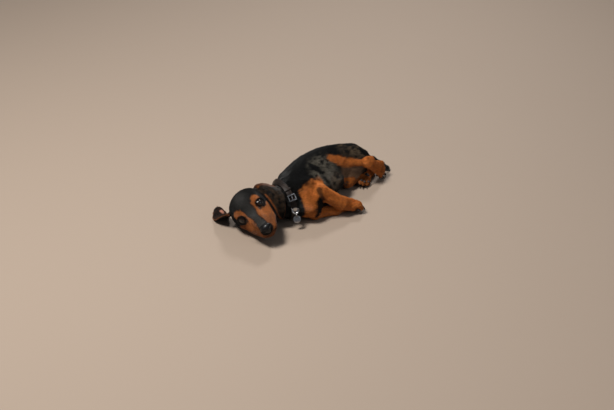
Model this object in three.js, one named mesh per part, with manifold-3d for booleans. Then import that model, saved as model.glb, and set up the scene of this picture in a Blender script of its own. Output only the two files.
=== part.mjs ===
// A life-size model of a dachshund puppy lying on its right side, with its head turned up to look at
// the viewer. Millimetres, +Z up. The body is a set of smooth distance fields (muscles, bones and
// folds of skin), each meshed into one closed solid and then parted with thin cuts.
import * as THREE from "three";
import { mergeVertices, toCreasedNormals } from "three/addons/utils/BufferGeometryUtils.js";
import Module from "manifold-3d";

const wasm = await Module();
wasm.setup();

const V = (x, y, z) => new THREE.Vector3(x, y, z);

// ---------------------------------------------------------------- driving dimensions
const GAP = 0.3; // clear space between two solids that touch
const TRUNK_CELL = 6; // mesh cell on the broad body
const HEAD_CELL = 3.2; // on the head
const LIMB_CELL = 4; // on the legs
const PAW_CELL = 2.2; // on the paws
const EYE_SPACING = 41; // between the centres of the eyes
const EYE_R = 9;
const COLLAR_WIDTH = 11;
const COLLAR_THICK = 2.4;

// ---------------------------------------------------------------- the skeleton, lying on its right side
const SPINE = [
  // place, half depth from back to belly, half width from side to side
  { at: V(-112, -60, 36), depth: 25, width: 27 },
  { at: V(-86, -63, 37), depth: 27, width: 28.5 },
  { at: V(-57, -57, 39.5), depth: 33, width: 31.5 },
  { at: V(-31, -34, 42), depth: 45, width: 39.5 },
  { at: V(-10, 4, 42.5), depth: 53, width: 43.5 },
  { at: V(12, 46, 43.5), depth: 53, width: 44.5 },
  { at: V(38, 82, 43), depth: 49, width: 43.5 },
  { at: V(67, 104, 42), depth: 43, width: 41 },
  { at: V(93, 114, 41), depth: 38, width: 38.5 },
  { at: V(107, 119, 39), depth: 27, width: 29 },
];
const HEAD_AT = V(-107, -113, 50); // midway between the eyes
const HEAD_FORWARD = V(0.35, -0.931, 0.102);
const HEAD_LEFT = V(0.71, 0.333, 0.616);
const LEFT_FORELEG = { shoulder: V(-18, -24, 56), elbow: V(26, -47, 57), wrist: V(69, -41, 29), toes: V(108, -19, 8) };
const RIGHT_FORELEG = { shoulder: V(-8, -34, 19), elbow: V(16, -53, 12.3), wrist: V(58, -36, 10.5), toes: V(88, -6, 8) };
const LEFT_HINDLEG = { hip: V(91, 111, 52), knee: V(58, 71, 62), hock: V(127, 87, 54), toes: V(166, 127, 9) };
const RIGHT_HINDLEG = { hip: V(100, 116, 28), knee: V(84, 71, 18), hock: V(134, 127, 10), toes: V(114, 72, 8.3) };
const TAIL = [
  { at: V(104, 124, 42), r: 15 },
  { at: V(121, 147, 34), r: 9.5 },
  { at: V(141, 164, 19), r: 7.8 },
  { at: V(160, 165, 9), r: 6.4 },
  { at: V(172, 155, 4.9), r: 5 },
  { at: V(176, 148, 3.6), r: 3.4 },
];

// ---------------------------------------------------------------- distance fields
const clamp = (x, lo, hi) => Math.min(hi, Math.max(lo, x));
const mix = (a, b, t) => a + (b - a) * t;

// Two fields melted together over a width k.
function melt(a, b, k) {
  const h = Math.max(k - Math.abs(a - b), 0) / k;
  return Math.min(a, b) - (h * h * k) / 4;
}

// Field b carved out of field a with an edge rounded over k.
const carve = (a, b, k) => -melt(-a, b, k);

const meltAll = (fields, k) => (p) => fields.reduce((d, f) => melt(d, f(p), k), 1e3);

// A round bar from a to b whose radius goes from ra to rb.
function bar(a, b, ra, rb) {
  const along = b.clone().sub(a);
  const length2 = along.lengthSq();
  const from = V(0, 0, 0);
  return (p) => {
    from.copy(p).sub(a);
    const t = clamp(from.dot(along) / length2, 0, 1);
    return from.addScaledVector(along, -t).length() - mix(ra, rb, t);
  };
}

// An ellipsoid with half sizes along three crossed directions.
function lump(centre, size, axes) {
  const from = V(0, 0, 0);
  const least = Math.min(...size);
  return (p) => {
    from.copy(p).sub(centre);
    const x = from.dot(axes[0]) / size[0];
    const y = from.dot(axes[1]) / size[1];
    const z = from.dot(axes[2]) / size[2];
    const r = Math.hypot(x, y, z);
    const slope = Math.hypot(x / size[0], y / size[1], z / size[2]);
    return r < 1e-6 ? -least : (r * (r - 1)) / slope;
  };
}

const ball = (centre, r) => (p) => p.distanceTo(centre) - r;

// ---------------------------------------------------------------- the trunk and neck
const spineCurve = new THREE.CatmullRomCurve3(SPINE.map((s) => s.at), false, "centripetal");

// The spine as short stations, each with its own depth, width and crossed directions.
function stationsOf(count) {
  const made = [];
  for (let i = 0; i <= count; i++) {
    const u = i / count;
    const s = u * (SPINE.length - 1);
    const k = Math.min(Math.floor(s), SPINE.length - 2);
    const t = s - k;
    const ease = t * t * (3 - 2 * t);
    const forward = spineCurve.getTangent(u).negate();
    const side = V(0, 0, 1).addScaledVector(forward, -forward.z).normalize();
    made.push({
      at: spineCurve.getPoint(u),
      depth: mix(SPINE[k].depth, SPINE[k + 1].depth, ease),
      width: mix(SPINE[k].width, SPINE[k + 1].width, ease),
      forward,
      side,
      back: V(0, 0, 0).crossVectors(forward, side).negate(),
    });
  }
  return made;
}
const STATIONS = stationsOf(72);

// A tube of oval sections along the spine.
function spineField(p) {
  let best = 1e9;
  let near = STATIONS[0];
  for (const s of STATIONS) {
    const d = p.distanceToSquared(s.at);
    if (d < best) [best, near] = [d, s];
  }
  const from = p.clone().sub(near.at);
  const along = from.dot(near.forward);
  const x = from.dot(near.back) / near.depth;
  const z = from.dot(near.side) / near.width;
  const end = near === STATIONS[0] || near === STATIONS[STATIONS.length - 1];
  const y = end ? along / (0.8 * near.width) : 0;
  const r = Math.hypot(x, y, z);
  const slope = Math.hypot(x / near.depth, y / (0.8 * near.width), z / near.width);
  return r < 1e-6 ? -near.width : (r * (r - 1)) / slope;
}

// Where something sits on the body: u along the spine, then towards the back and up the left side.
function onBody(u, toBack, toLeft) {
  const s = STATIONS[Math.round(u * (STATIONS.length - 1))];
  return s.at.clone().addScaledVector(s.back, toBack).addScaledVector(s.side, toLeft);
}

const LEVEL = [V(1, 0, 0), V(0, 1, 0), V(0, 0, 1)];

// Axes for a lump that lies along a line, with its thin side towards flat.
function axesAlong(from, to, flat) {
  const x = to.clone().sub(from).normalize();
  const z = flat.clone().addScaledVector(x, -flat.dot(x)).normalize();
  return [x, V(0, 0, 0).crossVectors(z, x), z];
}

const middle = (a, b, t = 0.5) => a.clone().lerp(b, t);

// The broad muscles over the ribs, shoulders, rump and breastbone.
function torsoLumps() {
  const up = V(0, 0, 1);
  const brisket = V(3, -56, 33);
  const shoulderTop = onBody(0.36, 26, 22);
  const shoulderLow = LEFT_FORELEG.shoulder.clone().add(V(8, -6, -6));
  const rumpTop = onBody(0.9, 14, 12);
  return [
    bar(V(-22, -52, 35), brisket, 24, 21),
    bar(brisket, V(24, -28, 34), 21, 20),
    bar(V(30, -12, 38), V(56, 34, 36), 19, 20),
    lump(middle(shoulderTop, shoulderLow), [34, 22, 17], axesAlong(shoulderTop, shoulderLow, up)),
    lump(rumpTop, [30, 24, 26], axesAlong(rumpTop, onBody(0.8, 8, 10), up)),
  ];
}
const torsoParts = torsoLumps();
const torso = (p) => torsoParts.reduce((d, f) => melt(d, f(p), 16), spineField(p));

// ---------------------------------------------------------------- the head, in its own frame
const headF = HEAD_FORWARD.clone().normalize();
const headL = HEAD_LEFT.clone().addScaledVector(headF, -HEAD_LEFT.dot(headF)).normalize();
const headU = V(0, 0, 0).crossVectors(headF, headL);
const HEAD_AXES = [headF, headL, headU];
const onHead = (forward, left, up) =>
  HEAD_AT.clone().addScaledVector(headF, forward).addScaledVector(headL, left).addScaledVector(headU, up);
const bothSides = (make) => [-1, 1].map(make);
const headLump = (at, size) => lump(onHead(...at), size, HEAD_AXES);

// The right cheek is pressed flatter, as the head lies on it.
const pressed = (left, s) => (s > 0 ? left : -0.84 * left);

const SKULL = meltAll(
  [
    headLump([-32, 0, 1], [37, 37, 28]),
    headLump([-12, 0, 5], [26, 29, 21]),
    ...bothSides((s) => headLump([-9, 17 * s, 12], [15, 12, 9])),
    ...bothSides((s) => headLump([-20, 28 * s, -10], [22, 11, 14])),
    ...bothSides((s) => headLump([-34, pressed(26, s), -24], [25, 14, 20])),
    ...bothSides((s) => headLump([-4, pressed(21, s), -27], [28, 12, 17])),
  ],
  11
);
const MUZZLE = meltAll(
  [
    bar(onHead(0, 0, -6), onHead(30, 0, -10), 19, 15),
    bar(onHead(30, 0, -10), onHead(53, 0, -17), 15, 11.5),
    ...bothSides((s) => bar(onHead(2, pressed(15, s), -18), onHead(30, pressed(12.5, s), -24), 14, 12)),
    ...bothSides((s) => bar(onHead(30, pressed(12.5, s), -24), onHead(50, pressed(8, s), -24), 12, 9)),
    ...bothSides((s) => headLump([40, pressed(10.5, s), -29], [18, 9.5, 9])),
  ],
  8
);
const JAW = meltAll(
  [
    ...bothSides((s) => bar(onHead(-40, pressed(18, s), -33), onHead(12, pressed(15, s), -38), 12.5, 11)),
    bar(onHead(8, 0, -35), onHead(43, 0, -35), 16, 10.5),
    headLump([-46, 0, -24], [28, 26, 22]),
  ],
  10
);
const eyeAt = (s) => onHead(0, (EYE_SPACING / 2) * s, 2.5);

function head(p) {
  let d = melt(melt(SKULL(p), MUZZLE(p), 13), JAW(p), 7);
  for (const s of [-1, 1]) {
    const eye = eyeAt(s);
    d = melt(d, p.distanceTo(eye) - (EYE_R + 2.6), 6);
  }
  return d;
}

const body = (p) => melt(torso(p), head(p), 12);

// ---------------------------------------------------------------- meshing
// Each grid cell is six tetrahedra about its long diagonal. The field's sign at their corners says
// where the surface passes, so the mesh is always closed. The box's own walls close what reaches them.
const TETRAHEDRA = [[1, 3], [1, 5], [2, 3], [2, 6], [4, 5], [4, 6]].map(([a, b]) => [0, a, b, 7]);
const offsetOf = (corner) => V(corner & 1, (corner >> 1) & 1, corner >> 2);

function meshOf(field, low, high, cell) {
  const n = [0, 1, 2].map((k) => Math.ceil((high.getComponent(k) - low.getComponent(k)) / cell) + 2);
  const start = low.clone().addScalar(-cell / 2);
  const centre = middle(low, high);
  const half = high.clone().sub(low).multiplyScalar(0.5);
  const closed = (p) =>
    Math.max(
      field(p),
      Math.abs(p.x - centre.x) - half.x,
      Math.abs(p.y - centre.y) - half.y,
      Math.abs(p.z - centre.z) - half.z
    );
  const strides = [1, n[0], n[0] * n[1]];
  const jump = [0, 1, 2, 3, 4, 5, 6, 7].map((c) => offsetOf(c).dot(V(...strides)));
  const values = new Float32Array(n[0] * n[1] * n[2]);
  const spot = (index, out) =>
    out
      .set(index % n[0], Math.floor(index / n[0]) % n[1], Math.floor(index / strides[2]))
      .multiplyScalar(cell)
      .add(start);
  const p = V(0, 0, 0);
  for (let index = 0; index < values.length; index++) values[index] = closed(spot(index, p));
  const places = [];
  const vertexOf = new Map();
  const crossing = (a, b) => {
    const key = Math.min(a, b) * values.length + Math.max(a, b);
    if (!vertexOf.has(key)) {
      const t = values[a] / (values[a] - values[b]);
      vertexOf.set(key, places.length);
      places.push(spot(a, V(0, 0, 0)).lerp(spot(b, V(0, 0, 0)), clamp(t, 0.02, 0.98)));
    }
    return vertexOf.get(key);
  };
  const faces = [];
  const halfPlace = (a, b) => spot(a, V(0, 0, 0)).lerp(spot(b, V(0, 0, 0)), 0.5);
  const addFace = (edges, inside, outside) => {
    const [q0, q1, q2] = edges.map(([a, b]) => halfPlace(a, b));
    const outwards = halfPlace(outside, outside).sub(halfPlace(inside, inside));
    const facing = q1.sub(q0).cross(q2.sub(q0)).dot(outwards);
    const ring = edges.map(([a, b]) => crossing(a, b));
    faces.push(...(facing > 0 ? ring : ring.reverse()));
  };
  for (let k = 0; k < n[2] - 1; k++)
    for (let j = 0; j < n[1] - 1; j++)
      for (let i = 0; i < n[0] - 1; i++) {
        const base = i + j * strides[1] + k * strides[2];
        const first = values[base] <= 0;
        if (jump.every((d) => values[base + d] <= 0 === first)) continue;
        for (const tetrahedron of TETRAHEDRA) {
          const corners = tetrahedron.map((c) => base + jump[c]);
          const inside = corners.filter((c) => values[c] <= 0);
          const outside = corners.filter((c) => values[c] > 0);
          if (inside.length === 1) addFace(outside.map((c) => [inside[0], c]), inside[0], outside[0]);
          if (inside.length === 3) addFace(inside.map((c) => [c, outside[0]]), inside[0], outside[0]);
          if (inside.length === 2) {
            const [a, b] = inside;
            const [c, d] = outside;
            addFace([[a, c], [a, d], [b, d]], a, c);
            addFace([[a, c], [b, d], [b, c]], a, c);
          }
        }
      }
  places.forEach((q) => settle(closed, q, cell));
  const geometry = new THREE.BufferGeometry();
  geometry.setAttribute("position", new THREE.Float32BufferAttribute(places.flatMap((q) => q.toArray()), 3));
  geometry.setIndex(faces);
  return geometry;
}

// Moves a point onto the field's surface, at most half a cell away.
function settle(field, q, cell) {
  const home = q.clone();
  const step = 0.05;
  for (let round = 0; round < 3; round++) {
    const d = field(q);
    const slope = V(
      field(V(q.x + step, q.y, q.z)) - d,
      field(V(q.x, q.y + step, q.z)) - d,
      field(V(q.x, q.y, q.z + step)) - d
    ).divideScalar(step);
    const steep = slope.lengthSq();
    if (steep < 0.05) break;
    q.addScaledVector(slope, -d / steep);
  }
  const moved = q.clone().sub(home);
  if (moved.length() > 0.5 * cell) q.copy(home).add(moved.setLength(0.5 * cell));
}

// Joins the two ends of an edge wherever the surface stays within a tolerance of where it was. Each
// vertex carries the sum of the squared distances to the planes of the faces it stands for.
function thin(geometry, tolerance) {
  const at = [];
  const source = geometry.attributes.position;
  for (let i = 0; i < source.count; i++) at.push(V(0, 0, 0).fromBufferAttribute(source, i));
  let faces = [];
  for (let i = 0; i < geometry.index.count; i += 3)
    faces.push([0, 1, 2].map((k) => geometry.index.getX(i + k)));
  const planes = at.map(() => new Float64Array(11));
  const normalOf = (a, b, c) => b.clone().sub(a).cross(c.clone().sub(a));
  for (const face of faces) {
    const n = normalOf(...face.map((v) => at[v]));
    const area = n.length() / 2;
    if (area < 1e-9) continue;
    n.normalize();
    const d = -n.dot(at[face[0]]);
    const row = [n.x, n.y, n.z, d];
    for (const v of face) {
      let k = 0;
      for (let i = 0; i < 4; i++) for (let j = i; j < 4; j++) planes[v][k++] += area * row[i] * row[j];
      planes[v][10] += area;
    }
  }
  const costAt = (q, p) =>
    (q[0] * p.x * p.x + 2 * q[1] * p.x * p.y + 2 * q[2] * p.x * p.z + 2 * q[3] * p.x +
      q[4] * p.y * p.y + 2 * q[5] * p.y * p.z + 2 * q[6] * p.y +
      q[7] * p.z * p.z + 2 * q[8] * p.z + q[9]) / q[10];
  const meet = (a, b) => {
    const q = planes[a].map((x, k) => x + planes[b][k]);
    const m = new THREE.Matrix3().set(q[0], q[1], q[2], q[1], q[4], q[5], q[2], q[5], q[7]);
    const choices = [middle(at[a], at[b]), at[a], at[b]];
    if (Math.abs(m.determinant()) > 1e-4 * q[10] ** 3) {
      const solved = V(-q[3], -q[6], -q[8]).applyMatrix3(m.invert());
      if (solved.distanceTo(choices[0]) < 1.2 * at[a].distanceTo(at[b])) choices.unshift(solved);
    }
    const costs = choices.map((p) => costAt(q, p));
    const best = costs.indexOf(Math.min(...costs));
    return { a, b, q, place: choices[best].clone(), cost: costs[best] + 2e-5 * at[a].distanceToSquared(at[b]) };
  };
  for (let pass = 0; pass < 60; pass++) {
    const round = at.map(() => []);
    faces.forEach((face, i) => face.forEach((v) => round[v].push(i)));
    const ends = (v) => new Set(round[v].flatMap((i) => faces[i]));
    const edges = [];
    for (const [a, b, c] of faces)
      for (const [x, y] of [[a, b], [b, c], [c, a]]) if (x < y) edges.push(meet(x, y));
    edges.sort((e, f) => e.cost - f.cost);
    const locked = new Uint8Array(at.length);
    const gone = new Set();
    let joined = 0;
    for (const { a, b, q, place, cost } of edges) {
      if (cost > tolerance ** 2) break;
      if (locked[a] || locked[b]) continue;
      const [nearA, nearB] = [ends(a), ends(b)];
      const shared = [...nearA].filter((v) => nearB.has(v));
      if (shared.length !== 4) continue;
      const turned = [...round[a], ...round[b]].some((i) => {
        const face = faces[i];
        if (face.includes(a) && face.includes(b)) return false;
        const before = normalOf(...face.map((v) => at[v]));
        const after = normalOf(...face.map((v) => (v === a || v === b ? place : at[v])));
        return before.dot(after) < 0.5 * before.length() * after.length() || after.length() < 0.02;
      });
      if (turned) continue;
      at[a] = place;
      planes[a] = q;
      for (const i of round[b]) {
        if (faces[i].includes(a)) gone.add(i);
        else faces[i] = faces[i].map((v) => (v === b ? a : v));
      }
      for (const v of [...nearA, ...nearB]) locked[v] = 1;
      joined++;
    }
    faces = faces.filter((face, i) => !gone.has(i));
    if (joined < 3) break;
  }
  const kept = [...new Set(faces.flat())];
  const renamed = new Map(kept.map((v, i) => [v, i]));
  const thinned = new THREE.BufferGeometry();
  thinned.setAttribute("position", new THREE.Float32BufferAttribute(kept.flatMap((v) => at[v].toArray()), 3));
  thinned.setIndex(faces.flat().map((v) => renamed.get(v)));
  return thinned;
}

// ---------------------------------------------------------------- solids
function indexedSolid(geometry) {
  return new wasm.Manifold(
    new wasm.Mesh({
      numProp: 3,
      vertProperties: new Float32Array(geometry.attributes.position.array),
      triVerts: new Uint32Array(geometry.index.array),
    })
  );
}

function solidOf(geometry) {
  const bare = geometry.clone();
  for (const name of ["normal", "uv"]) bare.deleteAttribute(name);
  return indexedSolid(mergeVertices(bare, 1e-3));
}

const fieldSolid = (field, low, high, cell, fine = 0.06 * cell) =>
  indexedSolid(thin(meshOf(field, low, high, cell), fine));

function geometryOf(solid) {
  const mesh = solid.getMesh();
  const geometry = new THREE.BufferGeometry();
  const places = new Float32Array(mesh.numVert * 3);
  for (let i = 0; i < mesh.numVert; i++)
    places.set(mesh.vertProperties.subarray(i * mesh.numProp, i * mesh.numProp + 3), i * 3);
  geometry.setAttribute("position", new THREE.BufferAttribute(places, 3));
  geometry.setIndex(new THREE.BufferAttribute(mesh.triVerts, 1));
  return geometry;
}

// The largest of a solid's separate bodies.
function largest(solid) {
  return solid.decompose().reduce((a, b) => (b.volume() > a.volume() ? b : a));
}

// A solid with fewer faces.
const lean = (solid, tolerance = 0.16) => indexedSolid(thin(geometryOf(solid), tolerance));

// A box whose middle is at a point and whose X runs along a direction.
function boxSolid(at, along, size) {
  const turned = new THREE.BoxGeometry(...size);
  turned.applyQuaternion(new THREE.Quaternion().setFromUnitVectors(V(1, 0, 0), along.clone().normalize()));
  turned.translate(at.x, at.y, at.z);
  return solidOf(turned);
}

// The part of a solid ahead of a plane, with half the gap taken off.
function ahead(solid, at, along, reach = 400) {
  const way = along.clone().normalize();
  const centre = at.clone().addScaledVector(way, reach / 2 + GAP / 2);
  return largest(solid.intersect(boxSolid(centre, way, [reach, 2 * reach, 2 * reach])));
}

const behind = (solid, at, along, reach) => ahead(solid, at, along.clone().negate(), reach);

// The floor takes off whatever would sink into it, which leaves the flats that the puppy lies on.
const FLOOR = boxSolid(V(0, 0, -50), V(1, 0, 0), [900, 900, 100]);
const aboveFloor = (solid) => solid.subtract(FLOOR);

const group = new THREE.Group();
function addPart(name, solid, colour, roughness, metalness = 0) {
  const shown = new THREE.Mesh(
    toCreasedNormals(geometryOf(solid), 0.7),
    new THREE.MeshStandardMaterial({ color: colour, roughness, metalness })
  );
  shown.name = name;
  group.add(shown);
}

const BLACK = 0x17161a;
const TAN = 0x8a4a1f;
const SILVER = 0x5b5651;

// ---------------------------------------------------------------- head, neck and trunk
const WHOLE_LOW = V(-215, -200, -8);
const WHOLE_HIGH = V(200, 190, 110);
const HEAD_LOW = V(-200, -195, -6);
const HEAD_HIGH = V(-40, -15, 105);
const NAPE = onHead(-58, 0, -16); // where the head ends and the neck begins
const NAPE_WAY = V(-0.74, -0.67, 0.08);
const NECK_BASE = V(-33, -42, 41); // and the neck ends at the shoulders
const NECK_WAY = V(-0.83, -0.55, -0.05);

const solids = {}; // what has been made so far, by name
const fields = []; // and the fields behind it, for the next piece to keep clear of
const boxOf = (solid, margin) => {
  const { min, max } = solid.boundingBox();
  return new THREE.Box3(V(...min), V(...max)).expandByScalar(margin);
};

// Takes the floor and everything made before, with a gap, out of a new solid.
function clear(solid) {
  let left = aboveFloor(solid);
  for (const { field, box } of fields) {
    const room = boxOf(left, 3);
    if (!room.intersectsBox(box)) continue;
    room.intersect(box);
    left = left.subtract(fieldSolid((p) => field(p) - 2.4 * GAP, room.min, room.max, LIMB_CELL, 0.34));
  }
  return lean(left);
}

// Adds a solid to the model, without whatever of it would still lie inside the ones before.
function keep(name, solid) {
  const box = boxOf(solid, 0);
  const others = Object.values(solids).filter((made) => box.intersectsBox(boxOf(made, 0)));
  const clean = largest(others.reduce((rest, made) => rest.subtract(made), solid)).simplify(0.02);
  solids[name] = largest(aboveFloor(clean));
}

const coarseBody = aboveFloor(fieldSolid(body, WHOLE_LOW, WHOLE_HIGH, TRUNK_CELL, 0.6));
const fineHead = aboveFloor(fieldSolid(body, HEAD_LOW, HEAD_HIGH, HEAD_CELL, 0.26));
const rump = behind(coarseBody, NAPE, NAPE_WAY);
const wholeHead = ahead(fineHead, NAPE, NAPE_WAY);
keep("neck", ahead(rump, NECK_BASE, NECK_WAY));
fields.push({ field: body, box: new THREE.Box3(WHOLE_LOW, WHOLE_HIGH) });

// ---------------------------------------------------------------- nose and eyes
const NOSE_AT = onHead(56, 0, -17);
const nosePad = meltAll([headLump([56, 0, -15.5], [8.5, 11.6, 8.4]), headLump([54, 0, -22], [8, 5, 7.5])], 5);
const nostrils = bothSides((s) => bar(onHead(65, 4.8 * s, -14.5), onHead(57, 10.4 * s, -15.5), 2.3, 1.4));
const nose = (p) => nostrils.reduce((d, n) => carve(d, n(p), 1.2), nosePad(p));
const near = (at, by) => [at.clone().addScalar(-by), at.clone().addScalar(by)];
let bareHead = wholeHead.subtract(fieldSolid((p) => nosePad(p) - 1.5 * GAP, ...near(NOSE_AT, 20), 2, 0.16));
const gazeOf = (s) =>
  headF.clone().multiplyScalar(0.9).addScaledVector(headL, 0.32 * s).addScaledVector(headU, 0.24).normalize();
for (const s of [-1, 1]) {
  const lidAxes = axesAlong(V(0, 0, 0), gazeOf(s), headU);
  const opening = lump(eyeAt(s).addScaledVector(gazeOf(s), 10.5), [8.5, 9.2, 7.2], lidAxes);
  const socket = (p) => Math.min(p.distanceTo(eyeAt(s)) - EYE_R - 1.5 * GAP, opening(p));
  bareHead = bareHead.subtract(fieldSolid(socket, ...near(eyeAt(s), 22), 1.6, 0.14));
}
keep("head", lean(bareHead));
keep("nose", fieldSolid(nose, ...near(NOSE_AT, 18), 1.4, 0.12));
for (const [s, name] of [[1, "eye_left"], [-1, "eye_right"]])
  keep(name, solidOf(new THREE.SphereGeometry(EYE_R, 16, 10).translate(...eyeAt(s).toArray())));

// ---------------------------------------------------------------- legs
// A foot: a sole, four toes with knuckle and tip, pads below and a claw on each toe.
function paw(wrist, toes, dorsal, r) {
  const along = toes.clone().sub(wrist);
  const length = along.length();
  const way = along.clone().normalize();
  const side = V(0, 0, 0).crossVectors(way, dorsal).normalize();
  const top = V(0, 0, 0).crossVectors(side, way);
  const place = (a, s, t) =>
    wrist.clone().addScaledVector(way, a * length).addScaledVector(side, s).addScaledVector(top, t);
  const digits = [-1.5, -0.5, 0.5, 1.5].map((k) => {
    const inner = Math.abs(k) < 1;
    return {
      root: place(0.5, k * r * 0.5, 1),
      knuckle: place(inner ? 0.78 : 0.68, k * r * 0.66, r * 0.34),
      tip: place(inner ? 0.95 : 0.84, k * r * 0.68, -r * 0.12),
      clawRoot: place(inner ? 0.97 : 0.86, k * r * 0.7, 0),
      clawTip: place(inner ? 1.13 : 1.02, k * r * 0.74, -r * 0.42),
    };
  });
  const parts = [
    bar(place(0, 0, 0), place(0.5, 0, 0), r, r * 0.96),
    lump(place(0.52, 0, -r * 0.35), [r * 0.95, r * 1.0, r * 0.6], [way, side, top]),
    ...digits.flatMap((t) => [bar(t.root, t.knuckle, r * 0.46, r * 0.47), bar(t.knuckle, t.tip, r * 0.47, r * 0.41)]),
  ];
  const claws = digits.map((t) => bar(t.clawRoot, t.clawTip, 1.9, 0.7));
  return { flesh: meltAll(parts, r * 0.25), claws, digits, way, side, top };
}

const halfway = (a, b, c) =>
  b.clone().sub(a).normalize().add(c.clone().sub(b).normalize()).normalize();

function boxRound(points, margin) {
  const box = new THREE.Box3().setFromPoints(points).expandByScalar(margin);
  return [box.min, box.max];
}

const L_FORE = LEFT_FORELEG;
const R_FORE = RIGHT_FORELEG;
const L_HIND = LEFT_HINDLEG;
const R_HIND = RIGHT_HINDLEG;
// Of each leg: its joints, which way the top of its foot looks, the foot's thickness, the shapes of
// its upper and lower parts, and the block of the body that its upper part takes up.
const LEGS = [
  {
    names: ["foreleg_right_upper", "foreleg_right_lower", "forepaw_right"],
    joints: [R_FORE.shoulder, R_FORE.elbow, R_FORE.wrist, R_FORE.toes],
    dorsal: V(-0.3, -0.7, 0.65),
    r: 10.5,
    upper: bar(R_FORE.shoulder, R_FORE.elbow, 14, 12.5),
    lower: bar(R_FORE.elbow, R_FORE.wrist, 12.5, 10),
    block: { semi: [38, 25], from: -5, to: 26 },
  },
  {
    names: ["foreleg_left_upper", "foreleg_left_lower", "forepaw_left"],
    joints: [L_FORE.shoulder, L_FORE.elbow, L_FORE.wrist, L_FORE.toes],
    dorsal: V(0, 0.2, 0.98),
    r: 13.2,
    upper: meltAll(
      [bar(L_FORE.shoulder, L_FORE.elbow, 22, 15), bar(L_FORE.elbow, L_FORE.elbow.clone().add(V(-1, 13, 6)), 12, 8)],
      8
    ),
    lower: bar(L_FORE.elbow, L_FORE.wrist, 16, 13.5),
    block: { semi: [46, 31], from: 50, to: 110 },
  },
  {
    names: ["hindleg_right_upper", "hindleg_right_lower", "hindpaw_right"],
    joints: [R_HIND.hip, R_HIND.knee, R_HIND.hock, R_HIND.toes],
    dorsal: V(-0.3, 0.1, -0.95),
    r: 10.5,
    upper: bar(R_HIND.hip, R_HIND.knee, 24, 15.5),
    lower: meltAll(
      [bar(R_HIND.knee, R_HIND.hock, 13.5, 8.5), bar(R_HIND.hock, R_HIND.hock.clone().add(V(8, 9, 0)), 8.5, 7)],
      8
    ),
    block: { semi: [48, 30], from: -5, to: 32 },
  },
  {
    names: ["hindleg_left_upper", "hindleg_left_lower", "hindpaw_left"],
    joints: [L_HIND.hip, L_HIND.knee, L_HIND.hock, L_HIND.toes],
    dorsal: V(0.6, -0.6, 0.5),
    r: 12,
    upper: meltAll(
      [
        bar(L_HIND.hip, L_HIND.knee, 26, 13.5),
        lump(V(82, 98, 60), [34, 20, 17], axesAlong(L_HIND.knee, L_HIND.hip, V(0, 0, 1))),
      ],
      12
    ),
    lower: meltAll(
      [bar(L_HIND.knee, L_HIND.hock, 11.5, 8.4), bar(L_HIND.hock, L_HIND.hock.clone().add(V(8, 3, 4)), 8.5, 7)],
      8
    ),
    block: { semi: [50, 30], from: 46, to: 110 },
    split: { at: V(57, 77, 60), way: V(0.22, -0.85, -0.45) },
  },
];

// An upright oval block about the line between two joints, which takes its part out of the body.
function ovalBlock([root, bend], { semi, from, to }, grow) {
  const shape = new THREE.CylinderGeometry(1, 1, 1, 28).rotateX(Math.PI / 2);
  shape.scale(semi[0] + grow, semi[1] + grow, to - from + 2 * grow);
  shape.rotateZ(Math.atan2(bend.y - root.y, bend.x - root.x));
  const centre = middle(root, bend);
  return solidOf(shape.translate(centre.x, centre.y, (from + to) / 2));
}

const bodyAndThighs = (p) => LEGS.reduce((d, { upper }) => melt(d, upper(p), 10), body(p));
const splitOf = ({ split, joints: [root, bend, ankle] }) => split ?? { at: bend, way: halfway(root, bend, ankle) };

// The trunk is the body with the legs' upper parts melted into it, less their blocks.
let trunk = aboveFloor(fieldSolid(bodyAndThighs, WHOLE_LOW, WHOLE_HIGH, TRUNK_CELL, 0.6));
trunk = behind(behind(trunk, NAPE, NAPE_WAY), NECK_BASE, NECK_WAY);
for (const spec of LEGS) {
  const { at, way } = splitOf(spec);
  const block = ovalBlock(spec.joints, spec.block, GAP);
  const reach = V(...trunk.boundingBox().max).sub(V(...trunk.boundingBox().min)).length();
  const side = at.clone().addScaledVector(way.clone().normalize(), GAP - reach / 2);
  trunk = largest(trunk.subtract(block.intersect(boxSolid(side, way, [reach, reach, reach]))));
}
keep("trunk", trunk);

for (const spec of LEGS) {
  const { names, joints, upper, lower, block, dorsal, r } = spec;
  const [, , ankle, toes] = joints;
  const foot = paw(ankle, toes, dorsal, r);
  const free = (p) => melt(lower(p), foot.flesh(p), 6);
  const own = (p) => melt(upper(p), free(p), 5);
  const joined = (p) => melt(bodyAndThighs(p), free(p), 5);
  const [low, high] = boxRound(joints, 50);
  const { at, way } = splitOf(spec);
  const whole = fieldSolid(joined, low, high, LIMB_CELL, 0.38);
  const thigh = behind(whole.intersect(ovalBlock(joints, block, 0)), at, way);
  keep(names[0], behind(aboveFloor(thigh), NECK_BASE, NECK_WAY));
  const shin = clear(fieldSolid(own, low, high, LIMB_CELL, 0.4));
  const ankleWay = halfway(joints[1], ankle, toes);
  keep(names[1], behind(ahead(shin, at, way), ankle, ankleWay));
  const [pawLow, pawHigh] = boxRound([ankle, toes], 24);
  const clawed = (p) => Math.min(own(p), ...foot.claws.map((c) => c(p)));
  const fine = clear(fieldSolid(clawed, pawLow, pawHigh, PAW_CELL, 0.27));
  keep(names[2], ahead(fine, ankle, ankleWay, 90));
  fields.push({ field: (p) => Math.min(own(p), clawed(p)), box: new THREE.Box3(low, high) });
}

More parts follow.
